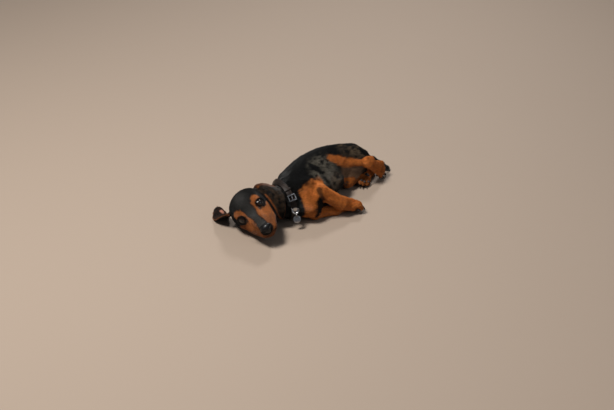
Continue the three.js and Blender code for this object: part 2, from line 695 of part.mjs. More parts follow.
// ---------------------------------------------------------------- tail
const TAIL_ROOT = V(110, 133, 39);
const TAIL_WAY = V(0.5, 0.8, -0.3);
const tailField = meltAll(TAIL.slice(1).map((t, i) => bar(TAIL[i].at, t.at, TAIL[i].r, t.r)), 4);
{
  const [low, high] = boxRound(TAIL.map((t) => t.at), 24);
  const rooted = fieldSolid((p) => melt(tailField(p), body(p), 7), low, high, LIMB_CELL, 0.3);
  keep("tail", clear(ahead(rooted, TAIL_ROOT, TAIL_WAY)));
  fields.push({ field: tailField, box: new THREE.Box3(low, high) });
}

// ---------------------------------------------------------------- ears
// Rings of points, skinned into one closed body.
function loft(rings) {
  const count = rings[0].length;
  const caps = [rings[0], rings[rings.length - 1]].map((ring) =>
    ring.reduce((sum, q) => sum.add(q), V(0, 0, 0)).divideScalar(count)
  );
  const places = [...rings.flat(), ...caps];
  const first = rings.length * count;
  const faces = [];
  for (let i = 0; i < rings.length - 1; i++)
    for (let j = 0; j < count; j++) {
      const [a, b] = [i * count + j, i * count + ((j + 1) % count)];
      faces.push(a, b, b + count, a, b + count, a + count);
    }
  for (let j = 0; j < count; j++) {
    const next = (j + 1) % count;
    faces.push(first, next, j, first + 1, first - count + j, first - count + next);
  }
  const geometry = new THREE.BufferGeometry();
  geometry.setAttribute("position", new THREE.Float32BufferAttribute(places.flatMap((q) => q.toArray()), 3));
  geometry.setIndex(faces);
  const solid = solidOf(geometry);
  return solid.volume() > 0 ? solid : solidOf(geometry.scale(1, 1, 1));
}

// A flap along a line, with its own half width, way across and hollow at each station.
function flap(stations, thick) {
  const line = new THREE.CatmullRomCurve3(stations.map((s) => s.at), false, "centripetal");
  const rings = [];
  const steps = 12;
  for (let i = 0; i <= steps; i++) {
    const u = i / steps;
    const s = u * (stations.length - 1);
    const k = Math.min(Math.floor(s), stations.length - 2);
    const t = s - k;
    const [from, to] = [stations[k], stations[k + 1]];
    const at = line.getPoint(u);
    const tangent = line.getTangent(u);
    const across = from.across.clone().lerp(to.across, t);
    across.addScaledVector(tangent, -across.dot(tangent)).normalize();
    const out = V(0, 0, 0).crossVectors(tangent, across).normalize();
    const half = mix(from.half, to.half, t * t * (3 - 2 * t));
    const cup = mix(from.cup, to.cup, t);
    const ring = [];
    for (let j = 0; j < 10; j++) {
      const angle = (j / 10) * 2 * Math.PI;
      const x = Math.sign(Math.cos(angle)) * Math.abs(Math.cos(angle)) ** 0.8;
      const y = Math.sin(angle) * (thick / 2) * (i === steps ? 0.5 : 1);
      ring.push(at.clone().addScaledVector(across, x * half).addScaledVector(out, y + cup * (x * x - 0.4)));
    }
    rings.push(ring);
  }
  return loft(rings);
}

const EAR_THICK = 4.4;
const LEFT_EAR = [
  { at: V(-104, -62, 68), half: 13, across: V(-0.4, 0.9, 0), cup: -2 },
  { at: V(-94, -63, 76), half: 16, across: V(-0.2, 0.95, 0.1), cup: -3 },
  { at: V(-80, -66, 75), half: 19, across: V(0.1, 0.95, 0.2), cup: -4 },
  { at: V(-66, -78, 69), half: 20, across: V(0.64, 0.63, 0.34), cup: -4 },
  { at: V(-57, -88, 59), half: 17, across: V(0.9, 0.35, 0.3), cup: -3 },
  { at: V(-53, -94.5, 46), half: 13, across: V(1, 0.1, 0.1), cup: -2 },
  { at: V(-51, -95, 33), half: 9.5, across: V(1, 0, 0), cup: -1 },
  { at: V(-50.5, -93, 23), half: 4, across: V(1, 0, 0), cup: 0 },
];
const RIGHT_EAR = [
  { at: V(-144, -89, 33), half: 16, across: V(0.4, 0.5, -0.2), cup: 1 },
  { at: V(-156, -80, 25), half: 18, across: V(0.75, 0.6, -0.1), cup: 2 },
  { at: V(-167, -67, 10), half: 19, across: V(0.85, 0.5, 0), cup: 3 },
  { at: V(-173, -50, 2.9), half: 18.5, across: V(0.95, 0.3, 0), cup: 3 },
  { at: V(-177, -34, 2), half: 16, across: V(0.97, 0.2, 0), cup: 3 },
  { at: V(-180, -20, 1.6), half: 11, across: V(0.97, 0.2, 0), cup: 2 },
  { at: V(-182, -11, 1.4), half: 4.5, across: V(0.97, 0.2, 0), cup: 0 },
];
for (const [name, stations] of [["ear_left", LEFT_EAR], ["ear_right", RIGHT_EAR]]) {
  keep(name, clear(flap(stations, EAR_THICK)));
}

// ---------------------------------------------------------------- collar
const COLLAR_AT = V(-46.5, -51, 40);
const COLLAR_AXIS = V(0.83, 0.55, 0.08).normalize();
const RING_UP = V(0, 0, 1).addScaledVector(COLLAR_AXIS, -COLLAR_AXIS.z).normalize();
const RING_OUT = V(0, 0, 0).crossVectors(COLLAR_AXIS, RING_UP);
const ringWay = (angle) =>
  RING_UP.clone().multiplyScalar(Math.cos(angle)).addScaledVector(RING_OUT, Math.sin(angle));

// How far the neck's skin is from the collar's axis, looking out at an angle.
function neckRadius(angle, along) {
  const from = COLLAR_AT.clone().addScaledVector(COLLAR_AXIS, along);
  const way = ringWay(angle);
  let [near, far] = [15, 80];
  for (let i = 0; i < 24; i++) {
    const r = (near + far) / 2;
    if (body(from.clone().addScaledVector(way, r)) < 0) near = r;
    else far = r;
  }
  return near;
}

const STRAP_LOOSE = 1.1;
const STRAP_STEPS = 44;
const strapRadius = (angle, along) =>
  Math.max(...[-0.15, 0, 0.15].map((turn) => neckRadius(angle + turn, along))) + STRAP_LOOSE;
const strapPoint = (angle, along, lift) =>
  COLLAR_AT.clone()
    .addScaledVector(COLLAR_AXIS, along)
    .addScaledVector(ringWay(angle), strapRadius(angle, along) + lift);

function strap() {
  const half = COLLAR_WIDTH / 2;
  const profile = [[-half, 0], [half, 0], [half, COLLAR_THICK], [-half, COLLAR_THICK]];
  const places = [];
  const faces = [];
  for (let i = 0; i < STRAP_STEPS; i++) {
    const angle = (i / STRAP_STEPS) * 2 * Math.PI;
    places.push(...profile.map(([along, lift]) => strapPoint(angle, along, lift)));
    for (let j = 0; j < 4; j++) {
      const next = (i + 1) % STRAP_STEPS;
      const [a, b] = [i * 4 + j, i * 4 + ((j + 1) % 4)];
      const [c, d] = [next * 4 + ((j + 1) % 4), next * 4 + j];
      faces.push(a, b, c, a, c, d);
    }
  }
  const geometry = new THREE.BufferGeometry();
  geometry.setAttribute("position", new THREE.Float32BufferAttribute(places.flatMap((q) => q.toArray()), 3));
  geometry.setIndex(faces);
  return indexedSolid(geometry);
}

// Axes standing on the strap where it passes a point: across it, down round it, and out from it.
function standOn(point, lift) {
  const from = point.clone().sub(COLLAR_AT);
  const angle = Math.atan2(from.dot(RING_OUT), from.dot(RING_UP));
  const half = COLLAR_WIDTH / 2;
  const across = strapPoint(angle, half, 0).sub(strapPoint(angle, -half, 0)).normalize();
  const down = strapPoint(angle + 0.2, 0, 0).sub(strapPoint(angle - 0.2, 0, 0));
  if (down.z > 0) down.negate();
  down.addScaledVector(across, -down.dot(across)).normalize();
  const out = V(0, 0, 0).crossVectors(across, down);
  if (out.dot(from) < 0) out.negate();
  const at = middle(strapPoint(angle, -half, COLLAR_THICK), strapPoint(angle, half, COLLAR_THICK));
  at.addScaledVector(out, lift);
  return new THREE.Matrix4().makeBasis(across, V(0, 0, 0).crossVectors(out, across), out).setPosition(at);
}

// A wire of round section along a closed line.
function wire(points, r, steps, sides) {
  const line = new THREE.CatmullRomCurve3(points, true, "centripetal");
  return new THREE.TubeGeometry(line, steps, r, sides, true);
}

const placed = (geometry, frame) => solidOf(geometry.applyMatrix4(frame));
const block = (x, y, z, at = [0, 0, 0]) => new THREE.BoxGeometry(x, y, z).translate(...at);
const collar = {};
collar.collar_strap = aboveFloor(strap());

const BUCKLE_AT = V(-42, -74, 54);
const buckleFrame = standOn(BUCKLE_AT, 2.9);
collar.collar_buckle = placed(block(15.5, 13, 1.8), buckleFrame)
  .subtract(placed(block(11.9, 9, 4), buckleFrame))
  .add(placed(block(1.6, 11.4, 1.4, [0, 0, 0.1]), buckleFrame));
const keeperFrame = standOn(V(-47, -67, 63), 1.6);
collar.collar_keeper = placed(block(14, 4.5, 1.5), keeperFrame);

const RING_AT = V(-34, -80, 41);
const D_DEPTH = 10;
const LINK_R = 4.5;
const TAG_R = 7.5;
const loopFrame = standOn(RING_AT, 3);
const downSign = V(0, 1, 0).transformDirection(loopFrame).z < 0 ? 1 : -1;
// The ring, the link and the tag lean out from the strap a little as they hang.
const hanging = loopFrame.clone().multiply(new THREE.Matrix4().makeRotationX(0.36 * downSign));
const dPoints = [[-6.5, 0], [0, 0], [6.5, 0], [7, 3], [5.2, 7.6], [0, D_DEPTH], [-5.2, 7.6], [-7, 3]];
collar.collar_d_ring = placed(wire(dPoints.map(([x, y]) => V(x, y * downSign, 0)), 1, 20, 5), hanging);
collar.collar_loop = placed(block(7, 6.5, 4.2), loopFrame).subtract(
  placed(wire(dPoints.map(([x, y]) => V(x, y * downSign, 0)), 1.5, 20, 6), hanging)
);
const linkAt = (D_DEPTH + LINK_R - 2.2) * downSign;
collar.collar_link = placed(
  new THREE.TorusGeometry(LINK_R, 0.8, 5, 16).rotateY(Math.PI / 2).translate(0, linkAt, 0),
  hanging
);
const tagAt = linkAt + (LINK_R - 1.2 + 5.2) * downSign;
collar.collar_tag = placed(
  new THREE.CylinderGeometry(TAG_R, TAG_R, 1.2, 20).rotateX(Math.PI / 2).translate(0, tagAt, 0),
  hanging
).subtract(
  placed(new THREE.CylinderGeometry(2, 2, 4, 10).rotateX(Math.PI / 2).translate(0, tagAt - 5.2 * downSign, 0), hanging)
);

// ---------------------------------------------------------------- the model's own frame
const colourOf = (name) => {
  if (/eye/.test(name)) return 0x0c0908;
  if (/head|nose|ear|neck|tail/.test(name)) return BLACK;
  return /leg|paw/.test(name) ? TAN : SILVER;
};
for (const [name, solid] of Object.entries(solids)) {
  addPart(name, solid, colourOf(name), /eye/.test(name) ? 0.12 : 0.75);
}
for (const [name, piece] of Object.entries(collar)) {
  const near = Object.values(solids).filter((made) => boxOf(piece, 0).intersectsBox(boxOf(made, 0)));
  const solid = near.reduce((rest, made) => rest.subtract(made), piece);
  const metal = /buckle|ring|link|tag/.test(name);
  addPart(name, solid, metal ? 0xb9bbc0 : 0x2a1a12, metal ? 0.3 : 0.6, metal ? 1 : 0);
}

// The origin is on the floor, under the middle of the model.
const extent = new THREE.Box3().setFromObject(group);
const centre = extent.getCenter(V(0, 0, 0));
for (const mesh of group.children) mesh.geometry.translate(-centre.x, -centre.y, -extent.min.z);

export default group;
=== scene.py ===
# %% [markdown]
# # A smooth-haired puppy lying on its side
# This lesson dresses a plain CAD model of a young dachshund until it looks alive. The CAD solids give
# every size and place: a trunk on its side, a head laid down on the floor, four legs, a tail, two
# soft ears, and a collar. Here they get one continuous skin, a short coat of many thousands of
# tufts, wet eyes, a damp nose, claws, pads, whiskers and a leather collar. Everything is in metres
# with Z up, and the floor is at zero.

import math

import bmesh
import bpy
import numpy as np
from mathutils import Matrix, Vector
from mathutils.bvhtree import BVHTree


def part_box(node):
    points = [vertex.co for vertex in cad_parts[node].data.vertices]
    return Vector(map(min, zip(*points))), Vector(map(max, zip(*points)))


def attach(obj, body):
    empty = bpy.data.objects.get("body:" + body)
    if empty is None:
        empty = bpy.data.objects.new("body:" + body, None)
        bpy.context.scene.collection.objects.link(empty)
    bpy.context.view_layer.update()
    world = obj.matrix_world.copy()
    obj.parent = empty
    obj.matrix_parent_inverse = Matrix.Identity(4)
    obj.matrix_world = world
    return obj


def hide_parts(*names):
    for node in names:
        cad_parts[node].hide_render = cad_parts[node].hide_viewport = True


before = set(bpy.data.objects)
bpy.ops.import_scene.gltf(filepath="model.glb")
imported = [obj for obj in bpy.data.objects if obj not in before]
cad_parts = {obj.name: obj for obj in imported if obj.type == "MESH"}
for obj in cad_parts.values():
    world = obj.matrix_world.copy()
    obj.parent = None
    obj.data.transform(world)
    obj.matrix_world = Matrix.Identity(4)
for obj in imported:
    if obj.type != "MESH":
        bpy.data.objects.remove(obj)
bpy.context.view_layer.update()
MM = 0.001
print("CAD nodes:", len(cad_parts))

# %% [markdown]
# ## Landmarks
# An animal modeller works from joints. Each landmark below is a place inside the box round one CAD
# node, as fractions of that box, so a landmark moves with its node if the model is changed. The spine
# runs from the nape to the root of the tail, and each leg from its root to the middle of its toes.


# %% Landmarks
def spot(node, x, y, z):
    low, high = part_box(node)
    return np.array([a + (b - a) * t for a, b, t in zip(low, high, (x, y, z))])


def spots(node, *places):
    return [spot(node, *place) for place in places]


def leg_line(leg, root, bend, ankle, toes):
    """Hip or shoulder, knee or elbow, hock or wrist, and the middle of the toes."""
    upper = spots(leg + "_upper", root, bend)
    return upper + spots(leg + "_lower", ankle) + spots(leg.replace("leg", "paw"), toes)


SPINE = spots("neck", (0.14, 0.48, 0.45), (0.35, 0.46, 0.46), (0.59, 0.51, 0.49), (0.80, 0.69, 0.52))
SPINE += spots("trunk", (0.27, 0.37, 0.48), (0.38, 0.55, 0.50), (0.51, 0.71, 0.49))
SPINE += spots("trunk", (0.66, 0.80, 0.48), (0.79, 0.84, 0.47), (0.86, 0.87, 0.44))
SPINE_RADII = np.array([26, 28, 32, 42, 48, 49, 46, 42, 38, 28]) * MM
LEG_PLACES = {
    "foreleg_left": ((0.29, 0.66, 0.17), (0.90, 0.33, 0.19), (0.85, 0.62, 0.22), (0.88, 0.75, 0.16)),
    "foreleg_right": ((0.42, 0.65, 0.73), (0.89, 0.34, 0.47), (0.88, 0.75, 0.46), (0.86, 0.85, 0.36)),
    "hindleg_left": ((0.71, 0.69, 0.15), (0.29, 0.16, 0.39), (0.86, 0.75, 0.47), (0.95, 0.83, 0.13)),
    "hindleg_right": ((0.64, 0.74, 0.87), (0.39, 0.25, 0.55), (0.86, 0.82, 0.32), (0.37, 0.15, 0.39)),
}
LEGS = {leg: leg_line(leg, *places) for leg, places in LEG_PLACES.items()}
LEG_RADII = {
    "foreleg_left": np.array([22, 15, 11.5, 8]) * MM,
    "foreleg_right": np.array([14, 12.5, 10, 8]) * MM,
    "hindleg_left": np.array([26, 14, 8.5, 8]) * MM,
    "hindleg_right": np.array([24, 15, 8.5, 8]) * MM,
}
TAIL = spots("tail", (0.05, -0.19, 0.78), (0.27, 0.37, 0.63), (0.52, 0.78, 0.35))
TAIL += spots("tail", (0.76, 0.81, 0.17), (0.97, 0.39, 0.07))
TAIL_RADII = np.array([14, 9.5, 8, 6.5, 4]) * MM
EAR_PLACES = {
    "ear_left": ((0.03, 0.70, 0.79), (0.40, 0.62, 0.91), (0.75, 0.19, 0.63), (0.84, 0.10, 0.01)),
    "ear_right": ((0.97, 0.13, 0.89), (0.51, 0.37, 0.27), (0.39, 0.56, 0.08), (0.21, 0.99, 0.04)),
}
EARS = {ear: spots(ear, *places) for ear, places in EAR_PLACES.items()}
print("spine length mm:", round(sum(np.linalg.norm(np.diff(SPINE, axis=0), axis=1)) / MM))

# %% [markdown]
# ## The head's own axes
# The face is easiest to describe from between the eyes: forwards to the nose, left, and up over the
# crown. The line between the two eyes gives left. The nose lies 19 degrees below forwards, so turning
# the line to the nose by that much gives the other two.

# %% Head axes
NOSE_DROP = math.radians(19.1)
EYE_LIFT = 2.5 * MM


def unit(v):
    v = np.asarray(v, float)
    return v / np.maximum(np.linalg.norm(v, axis=-1, keepdims=True), 1e-12)


def middle(node):
    low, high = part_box(node)
    return np.array((low + high) / 2)


EYES = {"eye_left": middle("eye_left"), "eye_right": middle("eye_right")}
EYE_RADIUS = float((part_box("eye_left")[1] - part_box("eye_left")[0]).x) / 2
BETWEEN = (EYES["eye_left"] + EYES["eye_right"]) / 2
HEAD_LEFT = unit(EYES["eye_left"] - EYES["eye_right"])
to_nose = middle("nose") - BETWEEN
to_nose = unit(to_nose - HEAD_LEFT * (to_nose @ HEAD_LEFT))
above_nose = np.cross(to_nose, HEAD_LEFT)
HEAD_FORWARD = to_nose * math.cos(NOSE_DROP) + above_nose * math.sin(NOSE_DROP)
HEAD_UP = np.cross(HEAD_FORWARD, HEAD_LEFT)
HEAD_AXES = np.stack([HEAD_FORWARD, HEAD_LEFT, HEAD_UP])
HEAD_AT = BETWEEN - HEAD_UP * EYE_LIFT


def in_head(points):
    """Places in millimetres from just under the middle of the eyes: forwards, left and up."""
    return (np.asarray(points) - HEAD_AT) @ HEAD_AXES.T / MM


def from_head(forward, left, up):
    return HEAD_AT + np.array([forward, left, up]) @ HEAD_AXES * MM


print("head forwards:", np.round(HEAD_FORWARD, 3), "eye radius mm:", round(EYE_RADIUS / MM, 2))

# %% [markdown]
# ## Small tools
# A few helpers are used all through: one links a finished bmesh as a piece that rides on the model,
# one sweeps a round section along a path, and one makes smooth random values in space, which break
# up every colour and edge.


# %% Small tools
def make_piece(name, bm, material, replaces=(), smooth=True):
    mesh = bpy.data.meshes.new(name)
    bm.to_mesh(mesh)
    bm.free()
    return dress(name, mesh, material, replaces, smooth)


def dress(name, mesh, material, replaces=(), smooth=True):
    mesh.name = name
    piece = bpy.data.objects.new(name, mesh)
    bpy.context.scene.collection.objects.link(piece)
    mesh.materials.clear()
    mesh.materials.append(material)
    mesh.polygons.foreach_set("use_smooth", [smooth] * len(mesh.polygons))
    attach(piece, "root")
    if replaces:
        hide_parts(*replaces)
    return piece


def sweep(bm, path, radii, sides, closed=False):
    """A round section bridged from ring to ring along a path, capped at its ends unless closed."""
    path = [Vector(p) for p in path]
    count = len(path)
    rings = []
    for i, place in enumerate(path):
        before = path[i - 1] if i or closed else place
        after = path[(i + 1) % count] if i < count - 1 or closed else place
        turn = (after - before).to_track_quat("Z", "Y").to_matrix().to_4x4()
        ring = bmesh.ops.create_circle(
            bm, segments=sides, radius=radii[i], matrix=Matrix.Translation(place) @ turn
        )["verts"]
        inside = set(ring)
        rings.append(list({e for v in ring for e in v.link_edges if e.other_vert(v) in inside}))
    pairs = zip(rings, rings[1:] + rings[:1] if closed else rings[1:])
    for ring, following in pairs:
        bmesh.ops.bridge_loops(bm, edges=ring + following)
    if not closed:
        bmesh.ops.holes_fill(bm, edges=rings[0] + rings[-1], sides=0)
    bmesh.ops.recalc_face_normals(bm, faces=bm.faces)


def mottle(points, size, seed):
    """Smooth random values from 0 to 1 that change over about this size."""
    table = np.random.default_rng(seed).random((32, 32, 32))
    q = np.asarray(points) / size
    base = np.floor(q).astype(int)
    t = q - base
    t = t * t * (3 - 2 * t)
    value = np.zeros(len(q))
    for i in (0, 1):
        for j in (0, 1):
            for k in (0, 1):
                corner = table[(base[:, 0] + i) % 32, (base[:, 1] + j) % 32, (base[:, 2] + k) % 32]
                share = [t[:, a] if on else 1 - t[:, a] for a, on in enumerate((i, j, k))]
                value += corner * share[0] * share[1] * share[2]
    return value


def ramp(value, low, high):
    t = np.clip((value - low) / (high - low), 0, 1)
    return t * t * (3 - 2 * t)


# %% [markdown]
# ## Materials
# Fur is not one colour: each tuft differs a little from the next, so the coat and the skin read a
# colour stored on the mesh, and fine noise varies it. The coat has only a low gloss, because its
# thousands of slopes already catch the light. Other finishes are made of noise and cell patterns in
# Object coordinates, which keep their size wherever a piece lies.


# %% Material tools
def new_material(name, colour=(0.5, 0.5, 0.5), roughness=0.5, **sockets):
    material = bpy.data.materials.new(name)
    material.use_nodes = True
    shader = material.node_tree.nodes["Principled BSDF"]
    shader.inputs["Base Color"].default_value = (*colour, 1)
    shader.inputs["Roughness"].default_value = roughness
    for socket, value in sockets.items():
        shader.inputs[socket.replace("_", " ")].default_value = value
    return material, material.node_tree, shader


def pattern(tree, kind, scale, **settings):
    node = tree.nodes.new(kind)
    place = tree.nodes.get("Place") or tree.nodes.new("ShaderNodeTexCoord")
    place.name = "Place"
    tree.links.new(place.outputs["Object"], node.inputs["Vector"])
    node.inputs["Scale"].default_value = scale
    for setting, value in settings.items():
        node.inputs[setting].default_value = value
    return node


def between(tree, factor, low, high):
    """Turns a value from 0 to 1 into one from low to high."""
    node = tree.nodes.new("ShaderNodeMapRange")
    node.inputs["To Min"].default_value = low
    node.inputs["To Max"].default_value = high
    tree.links.new(factor, node.inputs["Value"])
    return node.outputs["Result"]


def vary_roughness(tree, shader, factor, low, high):
    tree.links.new(between(tree, factor, low, high), shader.inputs["Roughness"])


def add_bump(tree, shader, height, distance, strength):
    bump = tree.nodes.new("ShaderNodeBump")
    bump.inputs["Distance"].default_value = distance
    bump.inputs["Strength"].default_value = strength
    tree.links.new(height, bump.inputs["Height"])
    tree.links.new(bump.outputs["Normal"], shader.inputs["Normal"])


def show_markings(tree, shader, factor, low, high):
    """Colours the piece by its markings, times a value between low and high."""
    marks = tree.nodes.new("ShaderNodeAttribute")
    marks.attribute_name = "markings"
    scale = tree.nodes.new("ShaderNodeVectorMath")
    scale.operation = "SCALE"
    tree.links.new(marks.outputs["Color"], scale.inputs[0])
    tree.links.new(between(tree, factor, low, high), scale.inputs["Scale"])
    tree.links.new(scale.outputs["Vector"], shader.inputs["Base Color"])


# %% Coat and skin
def marked_material(name, roughness, low, high, fine, **sockets):
    material, tree, shader = new_material(name, roughness=roughness, **sockets)
    noise = pattern(tree, "ShaderNodeTexNoise", fine, Detail=3.0)
    show_markings(tree, shader, noise.outputs["Fac"], low, high)
    vary_roughness(tree, shader, noise.outputs["Fac"], roughness - 0.1, roughness + 0.12)
    return material, tree, shader, noise


coat_finish, _, _, _ = marked_material(
    "short_glossy_coat", 0.46, 0.7, 1.35, 420.0, Specular_IOR_Level=0.14
)
skin_finish, tree, shader, noise = marked_material(
    "skin_under_coat", 0.62, 0.5, 0.9, 900.0, Specular_IOR_Level=0.15
)
add_bump(tree, shader, noise.outputs["Fac"], 0.0006, 0.6)

# %% Nose, eyes, claws
nose_finish, tree, shader = new_material(
    "damp_nose", (0.005, 0.0045, 0.005), 0.45, Specular_IOR_Level=0.22, Coat_Weight=0.06,
    Coat_Roughness=0.3,
)
pebbles = pattern(tree, "ShaderNodeTexVoronoi", 950.0)
grain = pattern(tree, "ShaderNodeTexNoise", 300.0, Detail=3.0)
vary_roughness(tree, shader, grain.outputs["Fac"], 0.26, 0.46)
add_bump(tree, shader, pebbles.outputs["Distance"], 0.00018, 0.6)

eye_finish, tree, shader = new_material(
    "wet_eye", roughness=0.35, Specular_IOR_Level=0.1, Coat_Weight=0.9, Coat_Roughness=0.02
)
streaks = pattern(tree, "ShaderNodeTexNoise", 700.0, Detail=4.0)
show_markings(tree, shader, streaks.outputs["Fac"], 0.6, 1.4)

rim_finish, tree, shader = new_material(
    "eye_rim", (0.004, 0.0035, 0.0035), 0.4, Specular_IOR_Level=0.3
)
grain = pattern(tree, "ShaderNodeTexNoise", 1500.0, Detail=2.0)
add_bump(tree, shader, grain.outputs["Fac"], 0.0002, 0.5)

claw_finish, tree, shader = new_material(
    "dark_claw", (0.007, 0.0055, 0.005), 0.4, Specular_IOR_Level=0.25
)
layers = pattern(tree, "ShaderNodeTexNoise", 600.0, Detail=3.0)
vary_roughness(tree, shader, layers.outputs["Fac"], 0.35, 0.55)
add_bump(tree, shader, layers.outputs["Fac"], 0.0002, 0.4)

pad_finish, tree, shader = new_material("paw_pad", (0.022, 0.015, 0.014), 0.6)
cells = pattern(tree, "ShaderNodeTexVoronoi", 1100.0)
add_bump(tree, shader, cells.outputs["Distance"], 0.0003, 0.7)

whisker_finish, tree, shader = new_material("whisker", (0.03, 0.025, 0.022), 0.35)
grain = pattern(tree, "ShaderNodeTexNoise", 200.0)
vary_roughness(tree, shader, grain.outputs["Fac"], 0.25, 0.45)

# %% [markdown]
# The collar is dark leather, worn lighter in patches, with polished steel fittings that carry
# fine scratches. Thread is a twisted waxed cord, paler than the leather.

# %% Collar materials
leather_finish, tree, shader = new_material(
    "dark_leather", (0.03, 0.016, 0.011), 0.42, Specular_IOR_Level=0.18
)
creases = pattern(tree, "ShaderNodeTexVoronoi", 520.0)
wear = pattern(tree, "ShaderNodeTexNoise", 90.0, Detail=5.0)
colours = tree.nodes.new("ShaderNodeValToRGB")
colours.color_ramp.elements[0].position = 0.35
colours.color_ramp.elements[0].color = (0.006, 0.004, 0.0035, 1)
colours.color_ramp.elements[1].position = 0.75
colours.color_ramp.elements[1].color = (0.020, 0.012, 0.009, 1)
tree.links.new(wear.outputs["Fac"], colours.inputs["Fac"])
tree.links.new(colours.outputs["Color"], shader.inputs["Base Color"])
vary_roughness(tree, shader, wear.outputs["Fac"], 0.3, 0.6)
add_bump(tree, shader, creases.outputs["Distance"], 0.0003, 0.6)

steel_finish, tree, shader = new_material("polished_steel", (0.42, 0.42, 0.43), 0.24, Metallic=1.0)
scratches = pattern(tree, "ShaderNodeTexNoise", 1400.0, Detail=4.0)
vary_roughness(tree, shader, scratches.outputs["Fac"], 0.12, 0.34)
add_bump(tree, shader, scratches.outputs["Fac"], 0.0001, 0.25)

thread_finish, tree, shader = new_material("waxed_thread", (0.11, 0.075, 0.05), 0.55)
twist = pattern(tree, "ShaderNodeTexWave", 900.0)
add_bump(tree, shader, twist.outputs["Fac"], 0.0002, 0.6)
print("materials:", len(bpy.data.materials))

# %% [markdown]
# ## One skin
# The flesh nodes are cut apart where a person would name them, and a real animal has no such cuts.
# A voxel remesh wraps all of them, with the eyes and the nose, in one closed surface. It leaves
# small steps, so the surface is then relaxed: each point moves toward its neighbours and part of the
# way back, which takes out facets and cuts but keeps the bulk. It ends inside the CAD by the depth
# of the coat.

# %% Wrap the flesh in one surface
FLESH = ["head", "neck", "trunk", "tail", "ear_left", "ear_right"]
FLESH += [leg + "_" + part for leg in LEGS for part in ("upper", "lower")]
FLESH += [leg.replace("leg", "paw") for leg in LEGS]
WRAPPED = FLESH + ["eye_left", "eye_right", "nose"]
SKIN_VOXEL = 1.75 * MM


def remeshed(nodes, voxel):
    bm = bmesh.new()
    for node in nodes:
        bm.from_mesh(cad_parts[node].data)
    bmesh.ops.remove_doubles(bm, verts=bm.verts, dist=1e-6)
    mesh = bpy.data.meshes.new("wrapped")
    bm.to_mesh(mesh)
    bm.free()
    wrapped = bpy.data.objects.new("wrapped", mesh)
    bpy.context.scene.collection.objects.link(wrapped)
    remesh = wrapped.modifiers.new("voxels", "REMESH")
    remesh.mode = "VOXEL"
    remesh.voxel_size = voxel
    graph = bpy.context.evaluated_depsgraph_get()
    made = bpy.data.meshes.new_from_object(wrapped.evaluated_get(graph))
    bpy.data.objects.remove(wrapped)
    return made


def places_of(mesh):
    found = np.empty(len(mesh.vertices) * 3)
    mesh.vertices.foreach_get("co", found)
    return found.reshape(-1, 3)


def normals_of(mesh):
    found = np.empty(len(mesh.vertices) * 3, np.float32)
    mesh.vertex_normals.foreach_get("vector", found)
    return found.reshape(-1, 3).astype(float)


def edges_of(mesh):
    found = np.empty(len(mesh.edges) * 2, np.int32)
    mesh.edges.foreach_get("vertices", found)
    return found.reshape(-1, 2)


def set_places(mesh, places):
    mesh.vertices.foreach_set("co", places.ravel())
    mesh.update()


def averaged(values, edges):
    """Each point's values averaged over its neighbours."""
    count = len(values)
    near = np.bincount(edges.ravel(), minlength=count)[:, None]
    total = np.stack(
        [
            np.bincount(edges[:, 0], values[edges[:, 1], axis], count)
            + np.bincount(edges[:, 1], values[edges[:, 0], axis], count)
            for axis in range(values.shape[1])
        ],
        axis=1,
    )
    return total / np.maximum(near, 1)


def relaxed(places, edges, rounds, there=0.6, back=-0.62):
    for _ in range(rounds):
        for step in (there, back):
            places = places + (averaged(places, edges) - places) * step
    return places


skin_mesh = remeshed(WRAPPED, SKIN_VOXEL)
skin_edges = edges_of(skin_mesh)
skin_at = relaxed(places_of(skin_mesh), skin_edges, 9)
set_places(skin_mesh, skin_at)
print("skin points:", len(skin_at), "faces:", len(skin_mesh.polygons))

# %% [markdown]
# ## Which part is where
# The length and the colour of fur depend on the part of the body. The nearest CAD surface to each
# point of the skin tells which node it belongs to.

# %% Name the part under every point
node_points = []
node_faces = []
face_node = []
for index, node in enumerate(WRAPPED):
    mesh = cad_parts[node].data
    start = len(node_points)
    node_points += [tuple(v.co) for v in mesh.vertices]
    node_faces += [tuple(start + v for v in p.vertices) for p in mesh.polygons]
    face_node += [index] * len(mesh.polygons)
cad_surface = BVHTree.FromPolygons(node_points, node_faces)


def part_of(points):
    return np.array([face_node[cad_surface.find_nearest(p)[2]] for p in points])


skin_part = part_of(skin_at)


def is_part(part, *names):
    return np.isin(part, [i for i, node in enumerate(WRAPPED) if node.startswith(names)])


print("points on the head:", int(is_part(skin_part, "head").sum()))

# %% [markdown]
# ## Eyes sit in the skin
# The skin still runs over the eyeballs. The opening between the lids is almond-shaped. Inside it the
# skin drops behind the eye, and outside it the skin lies on the eye as a lid, about a millimetre
# thick. The nose and the coat's depth are taken care of in the same move.

# %% Set the lids, and sink the skin by the coat's depth
LID_WIDE = math.radians(54)
LID_HIGH = math.radians(46)
LID_THICK = 0.9 * MM
CORNER = 0.10  # how far the corners of the opening are drawn out
BODY_DEPTH = 1.3  # millimetres from the CAD surface to the skin, where the table has no other
COAT_DEPTH = {
    "head": 0.6, "nose": 0.6, "eye": 0.6, "ear": 0.5, "forepaw": 0.6, "hindpaw": 0.6, "tail": 0.9
}
RESTING_DEPTH = 0.25 * MM
PAD_HEIGHT = -17.5
PAD_SINK = 1.6 * MM


def eye_axes(name):
    side = 1 if name == "eye_left" else -1
    out = unit(HEAD_FORWARD * 0.80 + HEAD_LEFT * side * 0.56 + HEAD_UP * 0.20)
    across = unit(HEAD_LEFT * side - out * (HEAD_LEFT @ out) * side - HEAD_UP * 0.12)
    across = unit(across - out * (across @ out))
    return out, across, np.cross(out, across) * side


